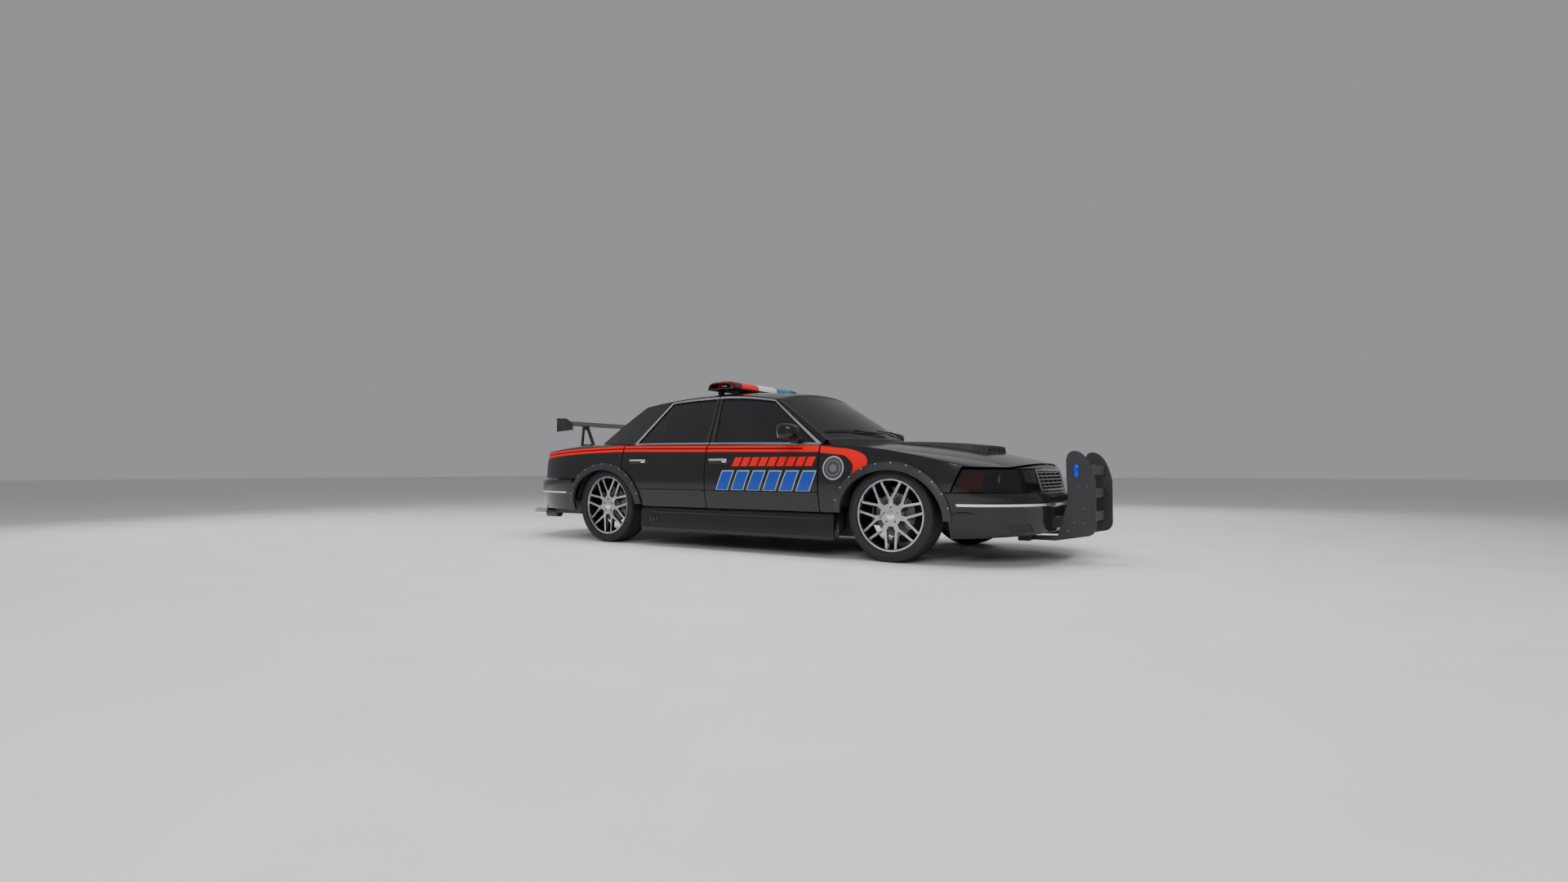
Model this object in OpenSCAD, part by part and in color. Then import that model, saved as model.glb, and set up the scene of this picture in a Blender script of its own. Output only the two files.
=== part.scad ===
// Full-size four-door patrol sedan as an assembly: X forward, Y left, Z up, millimetres
// The origin lies on the ground below the middle of the wheelbase
// Each body panel is a closed shell between an outer and an inner grid of points

/* [Running gear] */
// Distance between the axles
wheelbase = 2914; // [2800:2:3000]
// Distance between the middle planes of two tyres on one axle
track = 1594; // [1560:2:1620]
// Outer diameter of a tyre
tyre_d = 690; // [680:2:700]
// Width of a tyre
tyre_w = 250; // [235:5:255]
// Diameter over the rim's lip
rim_d = 534; // [510:2:540]
// Radius of a brake disc
disc_r = 160; // [140:2:165]
// Number of forked spokes in a wheel
spokes = 7; // [5:1:9]

/* [Lower body] */
// Half width of the body at its widest height
side_max = 990; // [960:1:1010]
// Height at which the body is widest
side_mid_z = 600; // [560:5:640]
// Radius of the bowed side section
side_r = 870; // [700:10:1200]
// Where the plan starts to round in towards the nose
nose_start = 1800; // [1750:5:1850]
// Length of the rounded nose at the bumper
nose_len = 720; // [690:5:740]
// Where the plan starts to round in towards the tail, behind the middle
tail_start = 1840; // [1800:5:1860]
// Length of the rounded tail at the bumper
tail_len = 925; // [900:5:940]
// Belt height at the front door's leading edge
belt_front_z = 868; // [850:1:880]
// Rise of the belt for each millimetre towards the rear
belt_rise = 0.0126; // [0.008:0.0002:0.016]
// Fall of the fender's shoulder towards the headlamp
fender_drop = 154; // [130:2:170]
// Fall of the rear shoulder towards the tail lamp
quarter_drop = 50; // [30:2:70]
// Width of the shut lines
gap = 6; // [5:0.5:7]

/* [Greenhouse] */
// Half width of the glass at the belt
glass_half = 930; // [915:1:940]
// Lean of the side glass towards the middle for each millimetre of height
tumble = 0.56; // [0.5:0.01:0.6]
// Bow of the glass in plan at a metre from its middle
glass_bow = 100; // [80:2:110]
// Highest point of the side windows
window_top_z = 1300; // [1280:1:1310]
// Height of the roof's middle
roof_z = 1392; // [1380:1:1400]
// Width of the frame round a door window
frame_w = 24; // [20:1:28]

/* [Doors] */
// Leading edge of the front doors
door_front_x = 893; // [880:1:900]
// Shut line between the front and the rear door
door_split_x = -216; // [-230:1:-205]
// Trailing edge of the rear doors
door_rear_x = -1190; // [-1200:1:-1180]
// Lower edge of the doors
door_bottom_z = 352; // [350:1:365]
// Thickness of a door below its window
door_t = 80; // [60:2:85]

/* [Hood and trunk] */
// Height of the hood's rear edge
hood_z0 = 905; // [895:1:912]
// Straight fall of the hood to its front edge
hood_fall = 86; // [80:2:100]
// Extra fall of the hood near its front edge
hood_nose = 92; // [80:2:110]
// Length of the hood scoop
scoop_len = 800; // [700:10:840]
// Half width of the hood scoop
scoop_half = 250; // [220:5:270]
// Height of the trunk lid's front edge
lid_z0 = 945; // [938:1:950]
// Half width of the trunk lid
lid_half = 600; // [580:2:620]
// Front edge of the trunk lid, behind the middle
lid_front_x = -1790; // [-1800:1:-1780]

/* [Fitted equipment] */
// Foremost point of the push bar
push_front_x = 2765; // [2750:1:2780]
// Half distance between the push bar's plates
push_half = 305; // [280:5:320]
// Middle of the light bar along the car
bar_x = -388; // [-420:2:-340]
// Half length of the light bar
bar_half = 560; // [520:5:600]
// Middle of the wing along the car
wing_x = -2285; // [-2310:5:-2260]
// Half span of the wing
wing_half = 694; // [650:2:710]

/* [Hidden] */
axle_x = wheelbase / 2;
wheel_y = track / 2;
wheel_z = tyre_d / 2;
tyre_r = tyre_d / 2;
rim_r = rim_d / 2;
plan_n = 3;
plan_m = 2.2;
bar_z = 1400;
fine = 48;
// Radius of a door's hinge pin and its clearance from the door
hinge_r = 1.2;
lid_crown = 20;
hinge_clear = 0.5;
// Thickness of the fixed glass and its set from the pillars
glass_t = 4;
pillar_set_back = 6.9;
// Height of the doors' pull handles and of the rubbing strips
handle_z = 752;
strip_z = 498;
// Lowest corner of the quarter panel beside the rear window
corner_z = 918;

// Value between a and b
function mix(a, b, t) = a + (b - a) * t;
// Evenly spaced values from a to b in n steps
function steps(a, b, n) = [for (i = [0 : n]) mix(a, b, i / n)];
// Value kept between two limits
function clamp(v, a, b) = min(b, max(a, v));
// Point on a bend from a to c that leans towards b
function bend(a, b, c, t) = (1 - t) * (1 - t) * a + 2 * t * (1 - t) * b + t * t * c;

// Share of the full width left at x, where the ends are super-ellipses of the given lengths
function plan(x, front = nose_len, rear = tail_len) =
    x > nose_start ? pow(1 - pow(min(1, (x - nose_start) / front), plan_m), 1 / plan_n)
    : x < -tail_start ? pow(1 - pow(min(1, (-x - tail_start) / rear), plan_m), 1 / plan_n)
    : 1;
// Half width of the body's section at height z, away from the ends
function section(z) = side_max - pow(z - side_mid_z, 2) / (2 * side_r);
// Half width of the lower body
function side_h(x, z) = section(z) * plan(x);
// Distance in front of the nose's start at half width y, for a nose of length a
function nose_x(y, z, a) = nose_start + a * pow(1 - pow(min(1, abs(y) / section(z)), plan_n), 1 / plan_m);
// The same at the tail
function tail_x(y, z, a) = -tail_start - a * pow(1 - pow(min(1, abs(y) / section(z)), plan_n), 1 / plan_m);

// Height of the belt or shoulder line
function belt_z(x) =
    let (d = x - door_front_x)
    belt_front_z - d * belt_rise
    - (d > 0 ? fender_drop * pow(d / 1136, 2) : 0)
    - (x < -1165 ? quarter_drop * pow((-1165 - x) / 1100, 2) - (-1165 - x) * belt_rise * -1 : 0);
// Upper edge of the side windows
function window_z(x) = window_top_z - 70 * pow((x + 250) / (x > -250 ? 620 : 1000), 2);
// Half width of the greenhouse
function glass_h(x, z) = glass_half - tumble * (z - 880) - glass_bow * pow((x + 350) / 1000, 2);
// Height of the roof's side edge
function rail_z(x) = window_z(x) + frame_w + gap - 2;
// Height of the roof across its width, v from -1 to 1
function roof_h(x, v) =
    rail_z(x) + (roof_z - 45 * pow((x + 400) / 700, 2) - rail_z(x)) * (1 - pow(abs(v), 2.4));

// Closed shell between two grids whose rows go up and columns to the right, seen from outside
module shell(outer, inner, keep = undef) {
    m = len(outer);
    n = len(outer[0]);
    all = m * n;
    function kept(i, j) =
        i >= 0 && j >= 0 && i < m - 1 && j < n - 1 && (keep == undef ? true : keep[i][j]);
    cells = [for (i = [0 : m - 2]) for (j = [0 : n - 2]) if (kept(i, j)) [i, j]];
    function at(i, j) = i * n + j;
    faces = [
        for (c = cells)
            let (i = c[0], j = c[1], a = at(i, j), b = at(i, j + 1), d = at(i + 1, j), e = at(i + 1, j + 1))
            each concat(
                [[a, d, e], [a, e, b], [a + all, e + all, d + all], [a + all, b + all, e + all]],
                kept(i - 1, j) ? [] : [[a, b, b + all], [a, b + all, a + all]],
                kept(i + 1, j) ? [] : [[e, d, d + all], [e, d + all, e + all]],
                kept(i, j - 1) ? [] : [[d, a, a + all], [d, a + all, d + all]],
                kept(i, j + 1) ? [] : [[b, e, e + all], [b, e + all, b + all]]
            )
    ];
    polyhedron(points = concat([for (row = outer) each row], [for (row = inner) each row]), faces = faces);
}

// Its child on both sides of the car
module both_sides() {
    children();
    mirror([0, 1, 0]) children();
}

// Box from its low corner to its high corner
module block(low, high) {
    translate(low) cube(high - low);
}

// Wheel arch: a half ellipse about the wheel, with its middle a little ahead of the axle
arch_front_x = axle_x + 30;
arch_rear_x = -axle_x + 40;
arch_a = 430;
arch_b = 372;
flare_a = 462;
flare_b = 394;
lip_a = 405;
lip_b = 330;
// Height of an arch of half axes a and b at a distance d from its middle
function arch_z(d, a, b) = wheel_z + b * sqrt(max(0, 1 - pow(d / a, 2)));
// Distance of an arch from its middle at height z
function arch_d(z, a, b) = a * sqrt(max(0, 1 - pow(max(0, z - wheel_z) / b, 2)));

// Doors, seen from the right: u runs from the rear edge to the front edge
// A door is [rear x, front x] at the belt, then at the glass, then on top
front_door = [door_split_x + gap / 2, door_front_x, door_split_x + gap / 2, 824, -280 + gap / 2, 297];
rear_door = [door_rear_x, door_split_x - gap / 2, -1157, door_split_x - gap / 2, -833, -280 - gap / 2];
// Rear edge of a door at height z; the rear doors follow the flare
function door_back(d, z) =
    d[0] > -1000 ? d[0] : max(d[0], arch_rear_x + arch_d(z, flare_a + gap, flare_b + gap));
// Point of a door's skin below the belt, t from 0 at the bottom to 1 at the belt
function door_low(d, u, t) =
    let (z = mix(door_bottom_z, belt_z(mix(d[0], d[1], u)), t), x = mix(door_back(d, z), d[1], u))
    [x, -side_h(x, z), z];
// Point of a door's skin beside its window, r from 0 at the glass base to 1 at the frame's top
function door_high(d, u, r) =
    let (
        bx = mix(d[2], d[3], u),
        tx = mix(d[4], d[5], u),
        x = mix(bx, tx, r),
        z = mix(belt_z(bx) + 14, window_z(tx) + frame_w, r)
    )
    [x, -glass_h(x, z), z];
door_cols = [0, 0.05, 0.2, 0.35, 0.5, 0.65, 0.8, 0.95, 1];
door_low_rows = [0, 0.14, 0.28, 0.42, 0.56, 0.7, 0.84, 1];
door_high_rows = [0, 0.03, 0.28, 0.52, 0.76, 0.93, 1];
frame_t = 26;

// Pull handle: a bracket with two feet on the door's skin
module pull_handle(x) {
    y = -section(handle_z - 10) - 0.1;
    translate([0, 0, handle_z - 10]) linear_extrude(20) polygon([
        [x - 96, y], [x - 96, y - 16], [x - 84, y - 26], [x + 84, y - 26], [x + 96, y - 16], [x + 96, y],
        [x + 70, y], [x + 62, y - 12], [x - 62, y - 12], [x - 70, y]
    ]);
}
// Rubbing strip along the door's lower half, clear of the rear flare
module rub_strip(d) {
    rear = d[0] > -1000 ? d[0] : arch_rear_x + arch_d(strip_z, flare_a + gap, flare_b + gap);
    function out(z, proud) = [-section(z) - proud, z];
    translate([rear + 12, 0, 0]) rotate([90, 0, 90]) linear_extrude(d[1] - rear - 24) polygon([
        out(strip_z - 12, 0.3), out(strip_z, 0.3), out(strip_z + 12, 0.3), out(strip_z + 11, 4),
        out(strip_z + 6, 7), out(strip_z - 6, 7), out(strip_z - 11, 4)
    ]);
}
// Door with its window cut, its pull handle, its rubbing strip and two hinge pins
module door(d) {
    outer = concat(
        [for (t = door_low_rows) [for (u = door_cols) door_low(d, u, t)]],
        [for (r = door_high_rows) [for (u = door_cols) door_high(d, u, r)]]
    );
    inner = concat(
        [for (t = door_low_rows) [for (u = door_cols)
            door_low(d, clamp(u, 0.014, 0.986), max(t, 0.024))
            + [0, t == 1 ? door_t - 20 : door_t, t == 1 ? -14 : 0]]],
        [for (r = door_high_rows) [for (u = door_cols)
            door_high(d, clamp(u, 0.012, 0.988), min(r, 0.968)) + [0, frame_t, 0]]]
    );
    low = len(door_low_rows);
    last = len(door_cols) - 2;
    keep = [for (i = [0 : low + len(door_high_rows) - 2]) [for (j = [0 : last])
        !(i > low && i < low + len(door_high_rows) - 2 && j > 0 && j < last)]];
    shell(outer, inner, keep);
    pull_handle(d[0] + (d[0] > -1000 ? 141 : 205));
    rub_strip(d);
    for (z = [540, 640])
        translate([d[1] + hinge_r + hinge_clear, -section(side_mid_z), z])
            cylinder(h = 24, r = hinge_r, $fn = 24);
}

// Pane in a door's window
module door_pane(d) {
    cols = [for (u = steps(0.052, 0.948, 6)) u];
    rows = [for (r = steps(0.034, 0.926, 4)) r];
    shell(
        [for (r = rows) [for (u = cols) door_high(d, u, r) + [0, 10, 0]]],
        [for (r = rows) [for (u = cols) door_high(d, u, r) + [0, 15, 0]]]
    );
}

module front_door_right() color("#101012") door(front_door);
module front_door_left() color("#101012") mirror([0, 1, 0]) door(front_door);
module rear_door_right() color("#101012") door(rear_door);
module rear_door_left() color("#101012") mirror([0, 1, 0]) door(rear_door);
module front_glass_right() color("#30383c") door_pane(front_door);
module front_glass_left() color("#30383c") mirror([0, 1, 0]) door_pane(front_door);
module rear_glass_right() color("#30383c") door_pane(rear_door);
module rear_glass_left() color("#30383c") mirror([0, 1, 0]) door_pane(rear_door);

// Mirror housing on its foot, standing on the front door's shoulder
module mirror_housing() {
    x = 640;
    inner = glass_h(x, 885);
    foot_z = mix(belt_z(x) + 14, belt_z(x), (850 - inner) / (side_h(x, 870) - inner)) + 0.6;
    translate([x - 66, -1078, 914]) hull() {
        translate([0, 24, 0]) cube([70, 130, 128]);
        translate([0, 0, 24]) cube([70, 178, 80]);
        translate([70, 34, 26]) cube([60, 110, 72]);
    }
    block([x - 25, -905, foot_z], [x + 35, -850, 950]);
}
module mirror_right() color("#141416") mirror_housing();
module mirror_left() color("#141416") mirror([0, 1, 0]) mirror_housing();

// Hood: s from 0 at the rear edge to 1 at the front edge
function hood_half(s) = mix(768, 640, s);
function hood_rear(y) = 1085 - 195 * pow(y / 788, 2);
function hood_front(y) = nose_x(y, 700, 540);
function hood_h(s, y) = hood_z0 - hood_fall * s - hood_nose * pow(s, 3) - 38 * pow(y / 700, 2);
function hood_point(s, v) = let (y = v * hood_half(s)) [mix(hood_rear(y), hood_front(y), s), y, hood_h(s, y)];
// Height of the hood's skin at any place
function hood_at(x, y) = hood_h((x - hood_rear(y)) / (hood_front(y) - hood_rear(y)), y);
module hood() color("#101012") {
    cols = steps(0, 1, 12);
    rows = steps(-1, 1, 12);
    shell(
        [for (v = rows) [for (s = cols) hood_point(s, v)]],
        [for (v = rows) [for (s = cols)
            hood_point(clamp(s, 0.012, 0.988), clamp(v, -0.985, 0.985)) - [0, 0, mix(28, 9, pow(s, 4))]]]
    );
    for (y = [-768, 750])
        translate([hood_rear(768) - 3, y, hood_h(0, 768)])
            rotate([-90, 0, 0]) cylinder(h = 18, r = 2.5, $fn = 24);
}
// Scoop: a raised plateau that sits on the hood, higher at its open front
module hood_scoop() {
    x0 = 1165;
    cols = steps(0, 1, 8);
    rows = [-1, -0.86, -0.5, 0, 0.5, 0.86, 1];
    function skin(s, v) = let (x = x0 + scoop_len * s, y = v * scoop_half) [x, y, hood_at(x, y) + 0.4];
    color("#161618") shell(
        [for (v = rows) [for (s = cols)
            skin(s, v * 0.985) + [0, 0, (abs(v) == 1 ? 6 : mix(14, 40, s)) * (s == 0 ? 0.5 : 1)]]],
        [for (v = rows) [for (s = cols) skin(s, v)]]
    );
}

// Cowl between the windshield and the hood, v across the car
function shield_base(v) = [845 + 205 * (1 - v * v), v * (glass_h(845, 912) - 2), 912 + 14 * (1 - v * v)];
function shield_top(v) = let (x = 322 + 60 * (1 - v * v), w = glass_h(322, rail_z(322)))
    [x, v * w, roof_h(322, v) - 2];
module cowl_panel() {
    cols = steps(0, 1, 2);
    rows = steps(-0.97, 0.97, 14);
    function strip(v, t) = let (b = shield_base(v), y = b[1])
        [mix(b[0] + 0.5, hood_rear(y) - 6, t), y, mix(b[2] - 2, hood_h(0, y) - 14, t)];
    color("#18181a") shell(
        [for (v = rows) [for (t = cols) strip(v, t)]],
        [for (v = rows) [for (t = cols) strip(v, t) - [0, 0, 18]]]
    );
}
// Windshield and rear window
module windshield() {
    cols = steps(0, 1, 5);
    rows = steps(-1, 1, 14);
    function glass(v, t) = mix(shield_top(v), shield_base(v), t) + [0, 0, 6 * sin(180 * t)];
    color("#30383c") shell(
        [for (v = rows) [for (t = cols) glass(v, t)]],
        [for (v = rows) [for (t = cols) glass(v, t) - [0, 0, glass_t]]]
    );
}
function back_top(v) = [-1192 - 45 * (1 - v * v), v * glass_h(-1192, rail_z(-1192)), roof_h(-1192, v) - 2];
function back_base(v) = [-1690 - 45 * (1 - v * v), v * glass_h(-1690, 925), 925 + 14 * (1 - v * v)];
module rear_window() {
    cols = steps(0, 1, 5);
    rows = steps(-1, 1, 14);
    function glass(v, t) = mix(back_base(v), back_top(v), t) + [0, 0, 8 * sin(180 * t)];
    color("#30383c") shell(
        [for (v = rows) [for (t = cols) glass(v, t)]],
        [for (v = rows) [for (t = cols) glass(v, t) - [0, 0, glass_t]]]
    );
}
// Roof skin between the two windows
module roof_panel() {
    cols = steps(0, 1, 10);
    rows = [-1, -0.9, -0.75, -0.5, -0.25, 0, 0.25, 0.5, 0.75, 0.9, 1];
    function skin(t, v) =
        let (x = mix(-1188 - 45 * (1 - v * v), 318 + 60 * (1 - v * v), t), e = mix(-1188, 318, t))
        [x, v * glass_h(e, rail_z(e)), roof_h(e, v)];
    color("#101012") shell(
        [for (v = rows) [for (t = cols) skin(t, v)]],
        [for (v = rows) [for (t = cols)
            let (w = clamp(v, -0.9, 0.9)) skin(clamp(t, 0.01, 0.99), w) - [0, 0, abs(v) == 1 ? 12 : 26]]]
    );
}

// Pillars of one side
module pillar_set() {
    // Front pillar between the door's frame and the windshield
    a_rows = steps(0, 1, 6);
    function a_back(r) = mix([830, belt_z(830) + 18], [304, rail_z(304) - 3], r);
    function a_front(r) = let (edge = mix(shield_base(1), shield_top(1), r))
        [edge[0] - pillar_set_back, edge[2] + 6 * sin(180 * r) - 0.5];
    function a_skin(r, u) = let (p = mix(a_back(r), a_front(r), u)) [p[0], -glass_h(p[0], p[1]), p[1]];
    shell(
        [for (r = a_rows) [for (u = [0, 0.5, 1]) a_skin(r, u)]],
        [for (r = a_rows) [for (u = [0, 0.5, 1]) a_skin(r, u) + [0, 40, 0]]]
    );
    // Hinge pillar below it
    block([905, -879.5, 340.5], [965, -770, 840]);
    block([905, -968, 580], [965, -780, 620]);
    // Middle pillar behind the shut line
    translate([-300, 0, 0]) rotate([90, 0, 90]) linear_extrude(150)
        polygon([[-840, 340.5], [-800, 340.5], [-785, 880], [-570, 1262], [-625, 1270], [-838, 885]]);
    // Rear pillar between the door's frame and the rear window
    c_rows = steps(0, 1, 6);
    c_cols = steps(0, 1, 5);
    function c_back(r) = mix([back_base(1)[0], corner_z + 3], [back_top(1)[0], rail_z(-1191) - 1], r)
        + [pillar_set_back, 0];
    function c_front(r) = mix([-1166, belt_z(-1166) + 15], [-840, rail_z(-840) - 1], r);
    function c_skin(r, u) =
        let (x = mix(c_back(r)[0], c_front(r)[0], u),
            z = mix(mix(c_back(0)[1], c_front(0)[1], u), rail_z(mix(-1191.4, -840, u)) - 0.8, r)
                + 8 * sin(180 * r) * (1 - u))
        [x, -glass_h(x, z), z];
    shell(
        [for (r = c_rows) [for (u = c_cols) c_skin(r, u)]],
        [for (r = c_rows) [for (u = c_cols) c_skin(min(r, 0.95), clamp(u, 0.02, 0.97)) + [0, 34, 0]]]
    );
}
module pillars() color("#101012") both_sides() pillar_set();

// Front fender: u from the door to the headlamp, t up to 1 at the shoulder and to 2 at the hood
fender_back_x = door_front_x + gap;
function fender_front(t) = t <= 1 ? mix(1945, 2029, t) : 2029;
function fender_low_z(x) =
    abs(x - arch_front_x) < arch_a
        ? max(arch_z(x - arch_front_x, arch_a, arch_b), x > arch_front_x ? 520 : door_bottom_z)
        : x > arch_front_x ? 520 : door_bottom_z;
function fender_side(u, t) =
    let (
        x0 = mix(fender_back_x, 1945, u),
        x = mix(fender_back_x, fender_front(t), u),
        z = mix(fender_low_z(x0), belt_z(x), t)
    )
    [x, -side_h(x, z), z];
function fender_edge(u) = let (p = hood_point(u, -1)) [max(p[0], fender_back_x), p[1] - gap, p[2]];
function fender_top(u, t) =
    let (a = fender_side(u, 1), c = fender_edge(u))
    bend(a, [mix(a[0], c[0], 0.4), a[1] + 14, mix(a[2], c[2], 0.85)], c, t - 1);
function fender_point(u, t) = t <= 1 ? fender_side(u, t) : fender_top(u, t);
fender_cols = [
    0, 0.08, 0.15, 0.158, 0.18, 0.22, 0.28, 0.36, 0.46, 0.56, 0.66, 0.76, 0.84, 0.89, 0.93, 0.965, 1
];
fender_rows = [0, 0.2, 0.4, 0.6, 0.8, 1, 1.2, 1.4, 1.6, 1.8, 2];
module fender() {
    shell(
        [for (t = fender_rows) [for (u = fender_cols) fender_point(u, t)]],
        [for (t = fender_rows) [for (u = fender_cols)
            let (w = clamp(t - 1, 0, 1)) fender_point(min(u, 0.985), t) + [0, 20 * (1 - w), -13 * w]]]
    );
}
module front_fenders() color("#101012") both_sides() fender();

// Rear quarter panel: u from the tail lamp to the rear door, t as on the fender
quarter_front_x = door_rear_x - gap;
quarter_rear_x = -2283;
function quarter_low_z(x) =
    abs(x - arch_rear_x) < arch_a
        ? max(arch_z(x - arch_rear_x, arch_a, arch_b), x < arch_rear_x ? 590 : 0)
        : 590;
function quarter_side(u, t) =
    let (x = mix(quarter_rear_x, quarter_front_x, u), z = mix(quarter_low_z(x), belt_z(x), t))
    [x, -side_h(x, z), z];
// Upper edge, along the rear pillar, the rear window's corner and then the trunk lid
function quarter_edge(u) =
    let (x = mix(-2500, -1172, u), lid_y = lid_half + gap)
    x > -1690 ? let (z = mix(belt_z(x) + 13, corner_z, (x + 1172) / -518)) [x, -glass_h(x, z), z]
    : x > lid_front_x ? let (k = (x + 1690) / (lid_front_x + 1690))
        [x, -mix(glass_h(-1690, corner_z), lid_y, k), mix(corner_z, lid_h(0, lid_half), k)]
    : let (s = (x - lid_front_x) / (-2500 - lid_front_x)) [x, -lid_y, lid_h(s, lid_half)];
function quarter_top(u, t) =
    let (a = quarter_side(u, 1), c = quarter_edge(u))
    bend(a, [mix(a[0], c[0], 0.4), a[1] + 14, mix(a[2], c[2], 0.85)], c, t - 1);
function quarter_point(u, t) = t <= 1 ? quarter_side(u, t) : quarter_top(u, t);
quarter_cols = [0, 0.1, 0.2, 0.3, 0.38, 0.4, 0.43, 0.47, 0.52, 0.58, 0.64, 0.7, 0.76, 0.83, 0.9, 0.95, 1];
module quarter_panel() {
    shell(
        [for (t = fender_rows) [for (u = quarter_cols) quarter_point(u, t)]],
        [for (t = fender_rows) [for (u = quarter_cols)
            let (w = clamp(t - 1, 0, 1))
            quarter_point(clamp(u, 0.012, 0.99), t) + [0, 20 * (1 - w), -20 * w]]]
    );
}
module quarter_panels() color("#101012") both_sides() quarter_panel();

// Trunk lid: s from 0 at the hinge to 1 at the deck's edge to 2 at the foot of the rear face
// The hinged edge is straight across, and the crown grows behind it
function lid_h(s, y) =
    lid_z0 - lid_crown - 25 * s - 50 * s * s
        + lid_crown * (1 - pow(y / 600, 2)) * sin(90 * min(1, s / 0.3));
function lid_point(s, v) =
    let (y = v * lid_half)
    s <= 1 ? [mix(lid_front_x, tail_x(y, 850, 730), s), y, lid_h(s, y)]
    : let (z = mix(lid_h(1, y), 604, s - 1)) [tail_x(y, z, mix(730, 820, s - 1)), y, z];
lid_cols = [2, 1.8, 1.5, 1.2, 1.06, 1, 0.94, 0.8, 0.6, 0.4, 0.3, 0.2, 0.1, 0];
module trunk_lid() color("#101012") {
    rows = steps(-1, 1, 12);
    shell(
        [for (v = rows) [for (s = lid_cols) lid_point(s, v)]],
        [for (v = rows) [for (s = lid_cols)
            lid_point(clamp(s, 0.016, 1.97), clamp(v, -0.98, 0.98)) + [s >= 1 ? 26 : 0, 0, s <= 1 ? -26 : 0]]]
    );
    for (y = [-lid_half + 10, lid_half - 60])
        translate([lid_front_x + gap / 2, y, lid_h(0, lid_half)])
            rotate([-90, 0, 0]) cylinder(h = 50, r = gap / 2 - 0.5, $fn = 24);
}
// Height of the lid's skin at any place
function lid_at(x, y) = lid_h((x - lid_front_x) / (tail_x(y, 850, 730) - lid_front_x), y);
// Fixed deck between the rear window and the trunk lid
module rear_deck() {
    rows = steps(-0.8, 0.8, 10);
    cols = [0, 0.5, 1];
    function strip(v, t) = let (b = back_base(v), y = b[1])
        [mix(lid_front_x + gap, b[0] - 0.5, t), y, mix(lid_h(0, y), b[2] - 0.3, t)];
    color("#101012") shell(
        [for (v = rows) [for (t = cols) strip(v, t)]],
        [for (v = rows) [for (t = cols) strip(v, t) - [0, 0, 18]]]
    );
}

// Point of the nose at height z, with its length a, at the turn angle w from straight ahead
function nose_point(w, z, a, b) =
    [nose_start + a * pow(cos(w), 2 / plan_m), sign(w) * b * pow(abs(sin(w)), 2 / plan_n), z];
// Turn angle at which the nose has come back to x
function nose_turn(x, a) = acos(pow(clamp((x - nose_start) / a, 0, 1), plan_m / 2));
// Front bumper: rows of [height, length of the nose]
bumper_rows = [
    [192, 690], [215, 712], [300, 718], [415, 722], [425, 728],
    [440, 728], [450, 720], [490, 714], [512, 700],
    [518, 596]
];
bumper_half = [0.15, 0.3, 0.45, 0.58, 0.7, 0.8, 0.88, 0.95, 1];
bumper_cols = concat([for (i = [len(bumper_half) - 1 : -1 : 0]) -bumper_half[i]], [0], bumper_half);
module front_bumper() {
    function skin(u, row, inset) =
        let (
            z = row[0] + (row[0] < 250 ? 46 * (1 - abs(u)) * (250 - row[0]) / 58 : 0),
            end = arch_front_x + arch_d(z, arch_a, arch_b) + (inset > 0 ? 10 : 0),
            w = nose_turn(end, nose_len) * u
        )
        nose_point(w, z, row[1] - inset, section(z) - inset);
    color("#121214") shell(
        [for (row = bumper_rows) [for (u = bumper_cols) skin(u, row, 0)]],
        [for (row = bumper_rows) [for (u = bumper_cols)
            skin(u, [clamp(row[0], 200, 506), min(row[1], 700)], 30)]]
    );
}
// Headlamps: between the grille and the fender, leaning back
function upper_nose(z) = mix(610, 555, (z - 530) / 190);
module headlamp() {
    rows = [518.2, 560, 600, 640, 680];
    cols = steps(0, 1, 12);
    function skin(u, z, inset) =
        let (
            a = upper_nose(z),
            end = mix(1950, 2034, (z - 520) / 180),
            w0 = asin(pow(350 / section(z), plan_n / 2))
        )
        nose_point(-mix(nose_turn(end, a), w0, u), z, a - inset, section(z) - inset);
    shell(
        [for (z = rows) [for (u = cols) skin(u, z, 0)]],
        [for (z = rows) [for (u = cols) skin(clamp(u, 0.06, 0.95), z, 45)]]
    );
}
module headlamps() color("#3a3c40") both_sides() headlamp();
// Grille: a surround with openings between its bars
module grille() {
    levels = [518.2, 540, 557, 563, 585, 591, 613, 619, 641, 647, 664, 682];
    cols = [-342, -318, -312, -225, -219, -110, -104, -3, 3, 104, 110, 219, 225, 312, 318, 342];
    function skin(y, z, inset) = [nose_x(y, z, upper_nose(z) - inset), y, z];
    keep = [for (i = [0 : len(levels) - 2]) [for (j = [0 : len(cols) - 2])
        !(i % 2 == 1 && j % 2 == 1) || i == 0 || i == len(levels) - 2 || j == 0 || j == len(cols) - 2]];
    color("#3c3d40") shell(
        [for (z = levels) [for (y = cols) skin(y, z, 0)]],
        [for (z = levels) [for (y = cols) skin(y, z, 30)]],
        keep
    );
}
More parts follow.
